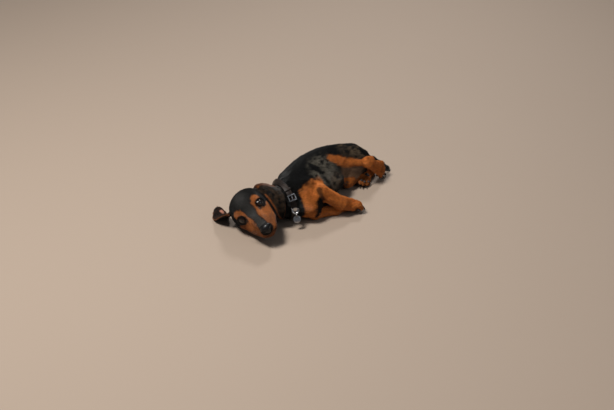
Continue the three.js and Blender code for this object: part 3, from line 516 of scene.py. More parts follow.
def lid_angle(turn):
    """The angle from the line of sight to the lid, at each turn round the eye."""
    round_one = 1 / np.hypot(np.cos(turn) / LID_WIDE, np.sin(turn) / LID_HIGH)
    return round_one * (1 + CORNER * np.abs(np.cos(turn)) ** 9)


def almond(name, points):
    """Under 1 in the opening of the lids, and how far each point is from the eye's middle."""
    out, across, up = eye_axes(name)
    reach = points - EYES[name]
    far = np.linalg.norm(reach, axis=1)
    way = reach / np.maximum(far, 1e-9)[:, None]
    turn = np.arctan2(way @ up, way @ across)
    angle = np.arccos(np.clip(way @ out, -1, 1))
    return angle / lid_angle(turn), far, way


def from_pad(head_places, forward, radii):
    """How far places on the head are from the middle of the nose pad, where 1 is its outline."""
    return np.linalg.norm((head_places - (forward, 0, PAD_HEIGHT)) / radii, axis=1)


normals = normals_of(skin_mesh)
depth = np.full(len(skin_at), BODY_DEPTH * MM)
for start, coat_depth in COAT_DEPTH.items():
    depth[is_part(skin_part, start)] = coat_depth * MM
depth = averaged(averaged(depth[:, None], skin_edges), skin_edges)[:, 0]
under_nose = from_pad(in_head(skin_at), 56, (10.5, 12.6, 11))
depth += PAD_SINK * (1 - ramp(under_nose, 0.85, 1.08))
resting = (normals[:, 2] < -0.6) & (skin_at[:, 2] < 2.5 * MM)
depth[resting] = RESTING_DEPTH
skin_at = skin_at - normals * depth[:, None]
for eye in EYES:
    opening, far, way = almond(eye, skin_at)
    near_eye = far < EYE_RADIUS + 7 * MM
    wanted = EYE_RADIUS + LID_THICK
    outside = near_eye & (opening > 1) & (opening < 1.9) & (far < wanted)
    skin_at[outside] = EYES[eye] + way[outside] * wanted
    inside = near_eye & (opening <= 1)
    sunk = np.minimum(far[inside], EYE_RADIUS - 1.0 * MM)
    skin_at[inside] = EYES[eye] + way[inside] * sunk[:, None]
skin_at[:, 2] = np.maximum(skin_at[:, 2], RESTING_DEPTH)
set_places(skin_mesh, skin_at)
skin_normals = normals_of(skin_mesh)
print("skin height mm:", round(skin_at[:, 2].max() / MM, 1))

# %% [markdown]
# ## The lie of the coat
# Fur grows back from the nose, over the crown and along the neck, sweeps down the flanks from the
# spine, and runs down each leg and ear to its end. Every landmark line gives its own direction, each
# line counts more the nearer it is, and the result is laid flat on the skin and evened out.

# %% Flow of the fur
NEAR_LINE = 5 * MM
NEAR_EAR = 14 * MM
BELLYWARD = 0.4
segments = []


def add_line(line, radii):
    segments.extend(zip(line, line[1:], radii, radii[1:]))


add_line(SPINE, SPINE_RADII)
add_line(TAIL, TAIL_RADII)
for leg, line in LEGS.items():
    add_line(line, LEG_RADII[leg])


def lie_of_coat(points, part):
    flow = np.zeros_like(points)
    total = np.zeros(len(points))
    for a, b, ra, rb in segments:
        line = b - a
        t = np.clip(((points - a) @ line) / (line @ line), 0, 1)[:, None]
        axis = a + line * t
        out = np.linalg.norm(points - axis, axis=1) - (ra + (rb - ra) * t[:, 0])
        share = np.exp(-np.abs(out) / NEAR_LINE) + 1e-9
        flow += unit(line) * share[:, None]
        total += share
    flow /= total[:, None]
    belly = np.stack([flow[:, 1], -flow[:, 0], np.zeros(len(flow))], axis=1)
    on_body = is_part(part, "trunk", "neck")
    flow[on_body] += BELLYWARD * belly[on_body]
    on_head = is_part(part, "head", "nose", "eye")
    flow[on_head] = unit(points[on_head] - from_head(66, 0, -16))
    for ear, line in EARS.items():
        on_ear = is_part(part, ear)
        ear_way = np.zeros((on_ear.sum(), 3))
        for a, b in zip(line, line[1:]):
            far = np.linalg.norm(points[on_ear] - (a + b) / 2, axis=1)
            ear_way += unit(b - a) * np.exp(-far / NEAR_EAR)[:, None]
        flow[on_ear] = unit(ear_way)
    return unit(flow)


def flat_on(flow, normals):
    return unit(flow - normals * (flow * normals).sum(1, keepdims=True))


skin_flow = flat_on(lie_of_coat(skin_at, skin_part), skin_normals)
for _ in range(8):
    skin_flow = flat_on(averaged(skin_flow, skin_edges), skin_normals)

soft_normals = skin_normals
for _ in range(6):
    soft_normals = averaged(soft_normals, skin_edges)
skin_rim = 1 - np.linalg.norm(soft_normals, axis=1)
print("rim values:", np.round(np.percentile(skin_rim, [50, 90, 99]), 2))

# %% [markdown]
# ## Markings
# This is a black and tan coat with dapple: black on the back, crown and tail, black and brown ears
# with a tan rim, a tan pip over each eye, tan cheeks, muzzle sides, chest and lower legs, and a grey
# to brown marbling on the flank, the waist and the rump. Each patch is a soft-edged oval, a band
# along a line or a rule in the head's own axes. Its edge is roughened by the mottle, because hair of
# one colour grows in among the other.

# %% Colours of the coat
BLACK = np.array([0.0045, 0.0044, 0.0042])
SLATE = np.array([0.036, 0.034, 0.032])
TAN = np.array([0.43, 0.138, 0.031])
FACE_TAN = np.array([0.24, 0.078, 0.022])
DARK_TAN = np.array([0.10, 0.032, 0.010])
SILVER = np.array([0.155, 0.138, 0.108])
BROWN_GREY = np.array([0.12, 0.084, 0.052])
PALE_BELLY = np.array([0.19, 0.115, 0.070])
PINK = np.array([0.42, 0.19, 0.13])
RUST = np.array([0.06, 0.022, 0.010])
EAR_BROWN = np.array([0.032, 0.022, 0.014])

CHEST_AT = spot("trunk", 0.31, 0.05, 0.46)
FLANK_AT = spot("trunk", 0.49, 0.40, 0.84)
RUMP_AT = spot("hindleg_left_upper", 0.80, 0.55, 0.85)
GROIN_AT = spot("trunk", 0.80, 0.63, 0.42)
WAIST_AT = spot("trunk", 0.62, 0.38, 0.57)
KNEE_LINE = [spot("trunk", 0.56, 0.58, 0.88), spot("hindleg_left_lower", 0.15, 0.07, 0.75)]
# A line of painted shade along the crease between the left foreleg and the chest.
ARMPIT_SHADE_LINE = [spot("foreleg_left_upper", 0.84, 0.18, 0.54), spot("trunk", 0.47, 0.09, 0.53)]
EAR_FOLD = spots("ear_right", (0.40, 0.75, 0.13), (0.80, 0.25, 0.60))
EAR_RIM = spots("ear_left", (0.11, 0.73, 0.94), (0.46, 0.22, 0.75), (0.67, 0.04, 0.45), (0.81, 0.05, 0.05))
EAR_TOP = spots("ear_left", (0.15, 0.85, 0.95), (0.62, 0.90, 0.92))
# Lines on the face, in millimetres in the head's own axes: how far forwards, and the value there.
STRIPE_HALF = ([-20, 0, 12, 24, 40, 50, 60], [17, 13, 10.5, 8.3, 7.5, 9.5, 11])
CHEEK_TOP = ([-40, -20, -6, 4], [-34, -22, -10, -4])
MOUTH = ([14, 30, 56, 66], [-33.5, -31.5, -30, -29.5])
NEVER = 9.0
TAN_STARTS = {  # how far down the upper leg the tan starts, where 1 is the elbow or the knee
    "foreleg_left": 0.66, "foreleg_right": 0.5, "hindleg_left": NEVER, "hindleg_right": 0.8
}


def band(points, line, radius, rough):
    """1 within about a radius of a line of places, 0 beyond, with a rough soft edge."""
    nearest = np.full(len(points), 1.0)
    for a, b in zip(line, line[1:]):
        along = np.clip((points - a) @ (b - a) / ((b - a) @ (b - a)), 0, 1)[:, None]
        nearest = np.minimum(nearest, np.linalg.norm(points - a - along * (b - a), axis=1))
    return 1 - ramp(nearest / (radius * MM) + (rough - 0.5) * 0.7, 0.7, 1.3)


def oval(points, at, radii, soft, rough):
    """1 inside an oval, 0 outside, with a rough soft edge."""
    reach = np.linalg.norm((points - at) / (np.array(radii) * MM), axis=1)
    return 1 - ramp(reach + (rough - 0.5) * 0.5, 1 - soft, 1 + soft)


def lay_over(colour, over, amount):
    return colour + (over - colour) * np.clip(amount, 0, 1)[:, None]


def grizzled(colour, fine):
    return colour * (0.7 + 0.6 * fine)[:, None]


def face_marks(colour, points, fine):
    """Slate over the crown and down the bridge of the nose, tan pips, cheeks and muzzle."""
    x, y, z = in_head(points).T
    wobble = (fine - 0.5) * 5
    side = np.abs(y) + wobble
    stripe = np.interp(x, *STRIPE_HALF)
    beside = ramp(side - stripe, -0.8, 1.6)
    ahead = ramp(x + wobble, 1, 7)
    muzzle = beside * ahead
    pip = 1 - ramp(np.hypot((side - 21.5) / 11, np.hypot((z - 13) / 11, (x - 3) / 13)), 0.82, 1.08)
    cheek = ramp(np.interp(x, *CHEEK_TOP) - z + wobble, -1, 3) * ramp(x + wobble, -36, -26)
    cheek *= np.maximum(beside, ramp(-z, 20, 24))
    tan = np.maximum(np.maximum(muzzle, pip), cheek)
    crown = np.exp(-((y / 16) ** 2)) * ramp(x, -46, -22) * ramp(z, 2, 12)
    colour = lay_over(colour, SLATE, 0.75 * crown * (0.5 + 0.6 * fine))
    bridge = (1 - ramp(side - stripe, -3, 0)) * ramp(x, 6, 20) * ramp(z, -16, -8)
    colour = lay_over(colour, SLATE * 1.15, 0.8 * bridge)
    face = lay_over(grizzled(FACE_TAN, fine), DARK_TAN, 0.65 * ramp(-z, 22, 38))
    face = lay_over(face, DARK_TAN * 1.2, 0.6 * ramp(x, 24, 48) * (1 - ramp(-z, 14, 24)))
    colour = lay_over(colour, face, tan)
    for eye in EYES:
        opening, far, _ = almond(eye, points)
        ring = (1 - ramp(opening + wobble * 0.02, 1.06, 1.24)) * (far < EYE_RADIUS + 6 * MM)
        colour = lay_over(colour, BLACK * 0.6, ring)
        inner_side = 1 if eye == "eye_left" else -1
        corner = np.array([12, 16.5 * inner_side, 0.5])
        reach = np.linalg.norm((np.c_[x, y, z] - corner) / (7, 4.5, 5), axis=1)
        colour = lay_over(colour, BLACK, 0.85 * (1 - ramp(reach + wobble * 0.04, 0.7, 1.2)))
    pad = from_pad(np.c_[x, y, z], 57, (10.5, 12.8, 11))
    colour = lay_over(colour, BLACK * 0.7, 1 - ramp(pad + wobble * 0.02, 1.0, 1.14))
    lips = (1 - ramp(np.abs(z - np.interp(x, *MOUTH)), 0.5, 1.5)) * ramp(x, 10, 16) * (z < -20)
    return lay_over(colour, BLACK * 0.6, 0.9 * lips)


def coat_colour(points, part, rim):
    points = np.asarray(points)
    broad = mottle(points, 11 * MM, 3)
    fine = 0.6 * mottle(points, 4 * MM, 4) + 0.4 * mottle(points, 2 * MM, 5)
    marble = 0.55 * broad + 0.45 * mottle(points, 5 * MM, 6)
    colour = np.tile(BLACK, (len(points), 1)) * (0.8 + 0.5 * broad)[:, None]
    uppers = ("hindleg_left_upper", "foreleg_left_upper", "hindleg_right_upper")
    body = is_part(part, "trunk", "neck", *uppers)
    high = ramp(points[:, 2], 20 * MM, 45 * MM)
    flecks = 0.3 + 0.5 * fine + 0.4 * ramp(mottle(points, 1.6 * MM, 8), 0.3, 0.8)
    flank = oval(points, FLANK_AT, (34, 46, 40), 0.35, broad) * ramp(marble, 0.38, 0.6) * high
    colour = lay_over(colour, SILVER, 0.95 * flank * body * flecks)
    rump = oval(points, RUMP_AT, (36, 40, 34), 0.35, broad) * ramp(marble, 0.44, 0.66) * high
    colour = lay_over(colour, BROWN_GREY, 0.85 * rump * body * flecks)
    waist = oval(points, WAIST_AT, (15, 24, 17), 0.4, broad) * ramp(marble, 0.25, 0.5)
    colour = lay_over(colour, BROWN_GREY, 0.8 * waist * body * flecks)
    groin = oval(points, GROIN_AT, (36, 34, 30), 0.3, broad)
    colour = lay_over(colour, PALE_BELLY, 0.9 * groin * is_part(part, "trunk"))
    chest = oval(points, CHEST_AT, (19, 24, 42), 0.16, fine)
    on_chest = is_part(part, "trunk", "foreleg_right_upper", "foreleg_left_upper")
    colour = lay_over(colour, grizzled(TAN, fine), chest * on_chest)
    colour = leg_marks(colour, points, part, fine)
    on_head = is_part(part, "head", "nose", "eye")
    colour[on_head] = face_marks(colour[on_head], points[on_head], fine[on_head])
    on_ear = is_part(part, "ear")
    edge = ramp(rim, 0.2, 0.42) * on_ear
    colour = lay_over(colour, RUST * (0.3 + 0.7 * broad[:, None]), 0.4 * on_ear * ramp(fine, 0.35, 0.7))
    colour = lay_over(colour, DARK_TAN * 1.5, 0.85 * edge)
    left_ear = is_part(part, "ear_left")
    colour = lay_over(colour, EAR_BROWN, 0.7 * left_ear * ramp(fine, 0.35, 0.65))
    colour = lay_over(colour, RUST * 1.6, 0.8 * left_ear * band(points, EAR_TOP, 8, broad))
    colour = lay_over(colour, DARK_TAN * 1.7, 0.9 * left_ear * band(points, EAR_RIM, 2.3, fine))
    fold = band(points, EAR_FOLD, 4, fine) * is_part(part, "ear_right")
    return lay_over(colour, PINK, 0.8 * fold)


def leg_marks(colour, points, part, fine):
    """Tan from the elbow and the knee down, darker toward the toes."""
    for leg, line in LEGS.items():
        upper = is_part(part, leg + "_upper")
        lower = is_part(part, leg + "_lower", leg.replace("leg", "paw"))
        along = ((points - line[0]) @ unit(line[1] - line[0])) / np.linalg.norm(line[1] - line[0])
        start = TAN_STARTS[leg]
        amount = np.where(upper, ramp(along + (fine - 0.5) * 0.2, start - 0.12, start + 0.12), 0)
        amount = np.where(lower, 1.0, amount)
        far = np.linalg.norm(points - line[3], axis=1)
        reach = 38 * MM if leg.startswith("hind") else 30 * MM
        # Toward the toes the tan darkens. This is partly the toes' own darker hair and partly painted
        # shade on the low feet beside the floor.
        dark_toes_and_shade = 0.7 * (1 - ramp(far + (fine - 0.5) * 8 * MM, 8 * MM, reach))
        tone = lay_over(grizzled(TAN, fine), DARK_TAN, dark_toes_and_shade)
        colour = lay_over(colour, tone, amount)
    knee = band(points, KNEE_LINE, 11, fine) * is_part(part, "trunk", "hindleg_left")
    colour = lay_over(colour, TAN, 0.9 * knee)
    # A soft dark line of painted shade lies in the crease between the left foreleg and the chest.
    fold = band(points, ARMPIT_SHADE_LINE, 5, 0.3 + 0.4 * fine) * is_part(part, "trunk", "foreleg_left")
    return lay_over(colour, BLACK * 1.5, 0.75 * fold)


def paint(mesh, colours):
    layer = mesh.attributes.new("markings", "FLOAT_COLOR", "POINT")
    layer.data.foreach_set("color", np.c_[colours, np.ones(len(colours))].astype(np.float32).ravel())


paint(skin_mesh, coat_colour(skin_at, skin_part, skin_rim))
skin = dress("skin", skin_mesh, skin_finish, FLESH)
print("skin painted:", len(skin_mesh.attributes), "attributes")

# %% [markdown]
# ## The coat
# A smooth coat is short hairs that lie nearly flat, up to eight millimetres long. Blender's hair
# is lost when a model leaves it, so each tuft here is a slim closed spike of four faces: two corners
# and a ridge at the root, and one tip. Arrays make them by the thousand. Each takes its place,
# direction, length and colour from the skin where it is rooted, with a little seeded chance in each.

# %% Where tufts grow
TUFTS = 236000
FUR = {
    # node name starts with: length and width in millimetres, lift in degrees, and how dense
    "head": (3.4, 0.62, 9, 2.3),
    "neck": (6.5, 0.85, 8, 1.0),
    "trunk": (7.0, 0.90, 7, 0.9),
    "tail": (7.0, 0.80, 8, 1.3),
    "ear": (4.2, 0.70, 5, 1.5),
    "foreleg": (5.0, 0.75, 8, 1.3),
    "hindleg": (5.5, 0.80, 8, 1.2),
    "forepaw": (3.2, 0.60, 10, 2.0),
    "hindpaw": (3.2, 0.60, 10, 1.9),
}
fur_table = np.zeros((len(WRAPPED), 4))
for index, node in enumerate(WRAPPED):
    for start, values in FUR.items():
        if node.startswith(start):
            fur_table[index] = values

chance = np.random.default_rng(20)
skin_mesh.calc_loop_triangles()
corners = np.empty(len(skin_mesh.loop_triangles) * 3, np.int32)
skin_mesh.loop_triangles.foreach_get("vertices", corners)
corners = corners.reshape(-1, 3)
a, b, c = (skin_at[corners[:, k]] for k in range(3))
areas = np.linalg.norm(np.cross(b - a, c - a), axis=1) / 2
low_middle = (a + b + c)[:, 2] / 3
hidden = (low_middle < 1.6 * MM) & (skin_normals[corners[:, 0], 2] < -0.7)
chances = areas * fur_table[skin_part[corners[:, 0]], 3] * np.where(hidden, 0.05, 1)
chosen = chance.choice(len(corners), TUFTS, p=chances / chances.sum())
r1, r2 = chance.random((2, TUFTS))
share = np.stack([1 - np.sqrt(r1), np.sqrt(r1) * (1 - r2), np.sqrt(r1) * r2], axis=1)


def blended(values):
    return (values[corners[chosen]] * share[:, :, None]).sum(axis=1)


root_at = blended(skin_at)
root_normal = unit(blended(skin_normals))
root_flow = flat_on(blended(skin_flow), root_normal)
root_rim = blended(skin_rim[:, None])[:, 0]
root_part = skin_part[corners[chosen, 0]]
print("skin area cm2:", round(areas.sum() * 1e4), "tufts:", TUFTS)

# %% [markdown]
# Hair is left off the nose, the eyes and their rims, and under the collar. It gets shorter toward the
# muzzle and round the eyes, so the face stays crisp.

# %% Thin and shorten the fur where it should be
strap_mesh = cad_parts["collar_strap"].data
strap_surface = BVHTree.FromPolygons(
    [v.co for v in strap_mesh.vertices], [tuple(p.vertices) for p in strap_mesh.polygons]
)
length, width, lift, _ = fur_table[root_part].T
head_place = in_head(root_at)
on_face = is_part(root_part, "head")
toward_nose = np.interp(head_place[:, 0], [-30, 0, 30, 60], [1.3, 0.95, 0.62, 0.45])
length = np.where(on_face, length * toward_nose, length)
width = np.where(on_face, width * np.interp(head_place[:, 0], [-20, 40], [1, 0.75]), width)
nose_reach = from_pad(head_place, 57, (10, 12.4, 10.5))
keep = ~is_part(root_part, "nose", "eye") & (nose_reach > 1.06)
length = np.where(on_face, length * (0.25 + 0.75 * ramp(nose_reach, 1.0, 1.7)), length)
for eye in EYES:
    opening, far, _ = almond(eye, root_at)
    close = far < EYE_RADIUS + 5 * MM
    keep &= ~(close & (opening < 1.22))
    length = np.where(close, length * ramp(opening, 0.9, 2.2) + 0.2, length)
UNDER_STRAP = 2.4 * MM
band_low, band_high = (np.array(v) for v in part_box("collar_strap"))
near_band = np.all((root_at > band_low - 4 * MM) & (root_at < band_high + 4 * MM), axis=1)
for index in np.flatnonzero(near_band):
    gap = strap_surface.find_nearest(root_at[index])[3]
    keep[index] &= gap >= UNDER_STRAP
length = length * chance.uniform(0.75, 1.2, TUFTS) * MM
width = width * chance.uniform(0.8, 1.2, TUFTS) * MM
lift = np.radians(lift * chance.uniform(0.3, 1.7, TUFTS))
swerve = chance.normal(0, 0.12, TUFTS)[:, None]
print("kept:", int(keep.sum()))

# %% [markdown]
# An exported coat is painted through a map that holds one small patch for each tuft. The map is a
# box unwrap: each group of nodes is seen from its six sides, and each side gets a cell of its own.
# The body's cells are the largest, because its coat has the most tufts.

# %% A map of the skin for the tufts
MAP_GROUPS = [("trunk", "neck", "hindleg_left_upper", "hindleg_right_upper"), ("head", "nose", "eye")]
MAP_GROUPS += [("ear_left",), ("ear_right",), ("tail",)]
MAP_GROUPS += [("foreleg_left", "forepaw_left"), ("foreleg_right", "forepaw_right")]
MAP_GROUPS += [("hindleg_left_lower", "hindpaw_left"), ("hindleg_right_lower", "hindpaw_right")]
PATCH = 0.0015
MARGIN = 0.003
BODY_CELL = 0.24
OTHER_CELL = 0.076
PLANES = [(1, 2), (0, 2), (0, 1)]


def map_place(points, normals, part):
    result = np.zeros((len(points), 2))
    axis = np.abs(normals).argmax(axis=1)
    facing = normals[np.arange(len(points)), axis] > 0
    for group, starts in enumerate(MAP_GROUPS):
        mine = is_part(part, *starts)
        low = points[mine].min(axis=0)
        side = np.ptp(points[mine], axis=0).max()
        for direction in range(6):
            use = mine & (axis == direction % 3) & (facing == (direction < 3))
            flat = (points[use][:, PLANES[direction % 3]] - low[list(PLANES[direction % 3])]) / side
            if group == 0:
                corner = np.array([(direction % 3) / 3, 0.5 + (direction // 3) / 4])
                size = BODY_CELL
            else:
                cell = (group - 1) * 6 + direction
                corner = np.array([(cell % 12) / 12, (cell // 12) / 12])
                size = OTHER_CELL
            result[use] = corner + MARGIN + flat * size
    return result


root_map = map_place(root_at, root_normal, root_part)
root_colour = coat_colour(root_at, root_part, root_rim)
root_colour *= chance.uniform(0.72, 1.3, TUFTS)[:, None]
print("map reaches:", np.round(root_map.max(axis=0), 2))

# %% Lay the tufts
SPIKE = np.array([[0, 2, 1], [0, 3, 2], [1, 2, 3], [0, 1, 3]])
SPIKE_MAP = np.array([[-1, -1], [1, -1], [0, 0], [0, 1]]) * PATCH
COATS = {
    "coat_head": (("head", "ear"), "coat_black"),
    "coat_neck": (("neck", "tail", "foreleg", "forepaw"), "coat_black"),
    "coat_trunk": (("trunk",), "coat_dapple"),
    "coat_hind": (("hindleg", "hindpaw"), "coat_tan"),
}
MOST_TUFTS = 49000


def lay_coat(name, chosen_tufts):
    at = root_at[chosen_tufts]
    up = root_normal[chosen_tufts]
    way = flat_on(root_flow[chosen_tufts], up)
    side = np.cross(way, up)
    way = unit(way + side * swerve[chosen_tufts])
    half = side * width[chosen_tufts, None] / 2
    long = length[chosen_tufts, None]
    rise = lift[chosen_tufts, None]
    sink = up * 0.15 * MM
    tip = at + way * long * np.cos(rise) + up * long * np.sin(rise)
    tip[:, 2] = np.maximum(tip[:, 2], 0.15 * MM)
    ridge = at + up * 0.32 * width[chosen_tufts, None]
    points = np.stack([at + half - sink, at - half - sink, ridge, tip], axis=1)
    count = len(at)
    faces = (SPIKE[None] + np.arange(count)[:, None, None] * 4).reshape(-1, 3)
    mesh = bpy.data.meshes.new(name)
    mesh.vertices.add(count * 4)
    mesh.vertices.foreach_set("co", points.astype(np.float32).ravel())
    mesh.loops.add(len(faces) * 3)
    mesh.loops.foreach_set("vertex_index", faces.astype(np.int32).ravel())
    mesh.polygons.add(len(faces))
    mesh.polygons.foreach_set("loop_start", np.arange(len(faces), dtype=np.int32) * 3)
    mesh.update(calc_edges=True)
    place = np.repeat(root_map[chosen_tufts], 12, axis=0) + np.tile(SPIKE_MAP[SPIKE.ravel()], (count, 1))
    mesh.uv_layers.new(name="OFBake").data.foreach_set("uv", place.astype(np.float32).ravel())
    paint(mesh, np.repeat(root_colour[chosen_tufts], 4, axis=0))
    dress(name, mesh, coat_finish, smooth=False)
    print(name, "tufts:", count, "faces:", len(faces))


for name, (starts, slot_name) in COATS.items():
    mine = np.flatnonzero(keep & is_part(root_part, *starts))
    pieces = math.ceil(len(mine) / MOST_TUFTS)
    for index in range(pieces):
        label = name if pieces == 1 else name + "_" + str(index + 1)
        lay_coat(label, mine[index::pieces])

# %% [markdown]
# ## Eyes
# An eye is a ball with a clear bulge, the cornea, in front of a brown iris and a round pupil. A
# puppy's eyes look almost black, and what brings them to life is the wet highlight. The ball is a
# UV sphere whose front is pushed out, with its colour stored by angle from the line of sight. The
# black rim of each lid is a thin tube along the almond-shaped opening.

# %% Eyeballs and their rims
PUPIL = math.radians(20)
IRIS = math.radians(47)
EYE_BLACK = np.array([0.002, 0.0018, 0.0018])
EYE_BROWN = np.array([0.016, 0.0065, 0.003])
EYE_WHITE = np.array([0.05, 0.035, 0.028])
CORNEA = 0.055 * EYE_RADIUS
RIM_RADIUS = EYE_RADIUS + 0.45 * MM
RIM_STEPS = 48


def make_ball(eye, centre):
    out, _, _ = eye_axes(eye)
    bm = bmesh.new()
    bmesh.ops.create_uvsphere(bm, u_segments=56, v_segments=36, radius=EYE_RADIUS)
    turn = Vector(out).to_track_quat("Z", "Y").to_matrix().to_4x4()
    bmesh.ops.transform(bm, matrix=Matrix.Translation(centre) @ turn, verts=bm.verts)
    angles = []
    for v in bm.verts:
        way = (v.co - Vector(centre)).normalized()
        angle = way.angle(Vector(out))
        v.co += way * CORNEA * max(0.0, 1 - (angle / IRIS) ** 2)
        angles.append(angle)
    angles = np.array(angles)
    colours = np.tile(EYE_BLACK, (len(angles), 1))
    colours = lay_over(colours, EYE_BROWN, ramp(angles, PUPIL, PUPIL * 1.15))
    colours = lay_over(colours, EYE_BLACK, ramp(angles, IRIS * 0.86, IRIS))
    colours = lay_over(colours, EYE_WHITE, ramp(angles, IRIS * 1.12, IRIS * 1.3))
    ball = make_piece(eye + "_ball", bm, eye_finish, [eye])
    paint(ball.data, colours)


def make_rim(eye, centre):
    out, across, up = eye_axes(eye)
    path = []
    thick = []
    for turn in np.linspace(0, 2 * math.pi, RIM_STEPS, endpoint=False):
        angle = lid_angle(turn)
        aside = across * math.cos(turn) + up * math.sin(turn)
        path.append(centre + (out * math.cos(angle) + aside * math.sin(angle)) * RIM_RADIUS)
        thick.append((0.65 + 0.2 * abs(math.sin(turn))) * MM)
    bm = bmesh.new()
    sweep(bm, path, thick, 10, closed=True)
    make_piece(eye + "_rim", bm, rim_finish)


for eye, centre in EYES.items():
    make_ball(eye, centre)
    make_rim(eye, centre)
print("eyes made")

# %% [markdown]
# ## Nose
# The nose pad is bare, damp skin with a fine pebbled grain, two comma-shaped nostrils and a groove
# down its middle. The CAD solid has the nostrils. A fine remesh rounds it, and a groove is pressed
# along the middle.

# %% Nose pad
nose_mesh = remeshed(["nose"], 0.45 * MM)
nose_edges = edges_of(nose_mesh)
nose_at = relaxed(places_of(nose_mesh), nose_edges, 10)
x, y, z = in_head(nose_at).T
groove = np.exp(-((y / 0.8) ** 2)) * ramp(x, 56, 61) * ramp(-z, 9, 13)
nose_at = nose_at - np.outer(groove * 0.9 * MM, HEAD_FORWARD)
set_places(nose_mesh, nose_at)
dress("nose_pad", nose_mesh, nose_finish, ["nose"])
print("nose points:", len(nose_at))

# %% [markdown]
# ## Claws, pads and whiskers
# Each foot has four toes. A claw is a short curved cone rooted in the toe, a little further out than
# in the CAD paw so that it clears the fur. Pads are tough bare skin under each toe and behind them:
# rounded cushions, made from icospheres that are flattened and sunk into the sole. Whiskers are fine
# stiff hairs swept back from the muzzle.

# %% Claws and pads
FEET = {
    # leg: which way the top of the foot looks, and half its thickness in millimetres
    "foreleg_right": ((-0.3, -0.7, 0.65), 10.5),
    "foreleg_left": ((0, 0.2, 0.98), 13.2),
    "hindleg_right": ((-0.3, 0.1, -0.95), 10.5),
    "hindleg_left": ((0.6, -0.6, 0.5), 12),
}
FLOOR_GAP = 0.3 * MM
CLAW_THICK = 1.75 * MM
CLAW_STEPS = np.linspace(0, 1, 6)


def make_foot(leg, dorsal, half):
    wrist, toes = LEGS[leg][2:]
    long = np.linalg.norm(toes - wrist)
    way = unit(toes - wrist)
    side = unit(np.cross(way, dorsal))
    top = np.cross(side, way)
    axes = Matrix((Vector(way), Vector(side), Vector(top))).transposed().to_4x4()

    def in_foot(ahead, aside, above):
        place = wrist + way * ahead * long + side * aside + top * above
        place[2] = max(place[2], FLOOR_GAP)
        return place

    def add_pad(at, radii, smoothness):
        ball = bmesh.ops.create_icosphere(pads, subdivisions=smoothness, radius=1.0)["verts"]
        size = Matrix.Diagonal((*[half * r for r in radii], 1))
        bmesh.ops.transform(pads, matrix=Matrix.Translation(at) @ axes @ size, verts=ball)

    claws = bmesh.new()
    pads = bmesh.new()
    for toe in (-1.5, -0.5, 0.5, 1.5):
        inner = abs(toe) < 1
        start, end = (0.98, 1.19) if inner else (0.87, 1.08)
        path = [
            in_foot(start + (end - start) * t, toe * half * (0.7 + 0.04 * t), half * (0.2 - 0.5 * t * t))
            for t in CLAW_STEPS
        ]
        sweep(claws, path, CLAW_THICK * (1 - 0.82 * CLAW_STEPS**1.5), 10)
        at = in_foot(0.86 if inner else 0.75, toe * half * 0.68, -half * 0.46)
        add_pad(at, (0.36, 0.27, 0.2), 3)
    add_pad(in_foot(0.5, 0, -half * 0.80), (0.5, 0.58, 0.24), 4)
    for v in [*pads.verts, *claws.verts]:
        v.co.z = max(v.co.z, FLOOR_GAP / 2)
    foot = leg.replace("leg", "paw")
    make_piece(foot + "_claws", claws, claw_finish)
    make_piece(foot + "_pads", pads, pad_finish)


for leg, (dorsal, half) in FEET.items():
    make_foot(leg, dorsal, half * MM)
print("feet finished:", len(FEET))

# %% Whiskers
WHISKER_THICK = 0.16 * MM
WHISKER_STEPS = np.linspace(0, 1, 6)
whisker_chance = np.random.default_rng(7)
bm = bmesh.new()
skin_surface = BVHTree.FromObject(skin, bpy.context.evaluated_depsgraph_get())
for side in (-1, 1):
    for row in range(3):
        for column in range(4):
            seed_at = from_head(34 + column * 5, side * 30, -15 - row * 5)
            hit = skin_surface.ray_cast(Vector(seed_at), Vector(-HEAD_LEFT * side))
            if hit[0] is None:
                continue
            out = unit(HEAD_LEFT * side * 0.8 - HEAD_FORWARD * 0.55 + HEAD_UP * (0.1 - 0.15 * row))
            long = whisker_chance.uniform(14, 24) * MM
            path = []
            for t in WHISKER_STEPS:
                place = np.array(hit[0]) + out * long * t - HEAD_FORWARD * long * 0.25 * t * t
                place[2] = max(place[2], 0.4 * MM)
                path.append(place)
            sweep(bm, path, WHISKER_THICK * (1 - 0.75 * WHISKER_STEPS), 5)
whisker_faces = len(bm.faces)
make_piece("whiskers", bm, whisker_finish)
print("whisker faces:", whisker_faces)

# %% [markdown]
# ## Collar
# The strap is a flat leather band round the neck. Its CAD solid is the right shape, so a copy of it
# gets rounded edges, and a row of stitches runs along each side. The buckle, ring, link and tag are
# copies too: bevelled where they are stamped or cast, and subdivided where they are round wire.


# %% Strap and fittings
def refined(node, name, material, bevel=0.0, levels=0):
    bm = bmesh.new()
    bm.from_mesh(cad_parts[node].data)
    bmesh.ops.remove_doubles(bm, verts=bm.verts, dist=1e-6)
    bmesh.ops.dissolve_limit(
        bm, angle_limit=math.radians(1), verts=bm.verts, edges=bm.edges, delimit=set()
    )
    if bevel:
        sharp = [e for e in bm.edges if e.is_manifold and e.calc_face_angle(0) > math.radians(35)]
        bmesh.ops.bevel(
            bm, geom=sharp, offset=bevel, offset_type="OFFSET", segments=2, profile=0.5,
            affect="EDGES", material=-1, clamp_overlap=True,
        )
    piece = make_piece(name, bm, material, [node])
    if levels:
        soft = piece.modifiers.new("soft", "SUBSURF")
        soft.levels = levels
        soft.render_levels = levels
    else:
        piece.data.set_sharp_from_angle(angle=math.radians(40))


refined("collar_strap", "collar_leather", leather_finish, bevel=0.35 * MM)
refined("collar_keeper", "collar_loop_leather", leather_finish, bevel=0.3 * MM)
for fitting, name, bevel in (("buckle", "buckle", 0.35), ("loop", "lug", 0.25), ("tag", "tag", 0.2)):
    label = "collar_" + name + "_steel"
    refined("collar_" + fitting, label, steel_finish, bevel=bevel * MM)
for wire, name in (("d_ring", "ring"), ("link", "link")):
    refined("collar_" + wire, "collar_" + name + "_steel", steel_finish, levels=2)

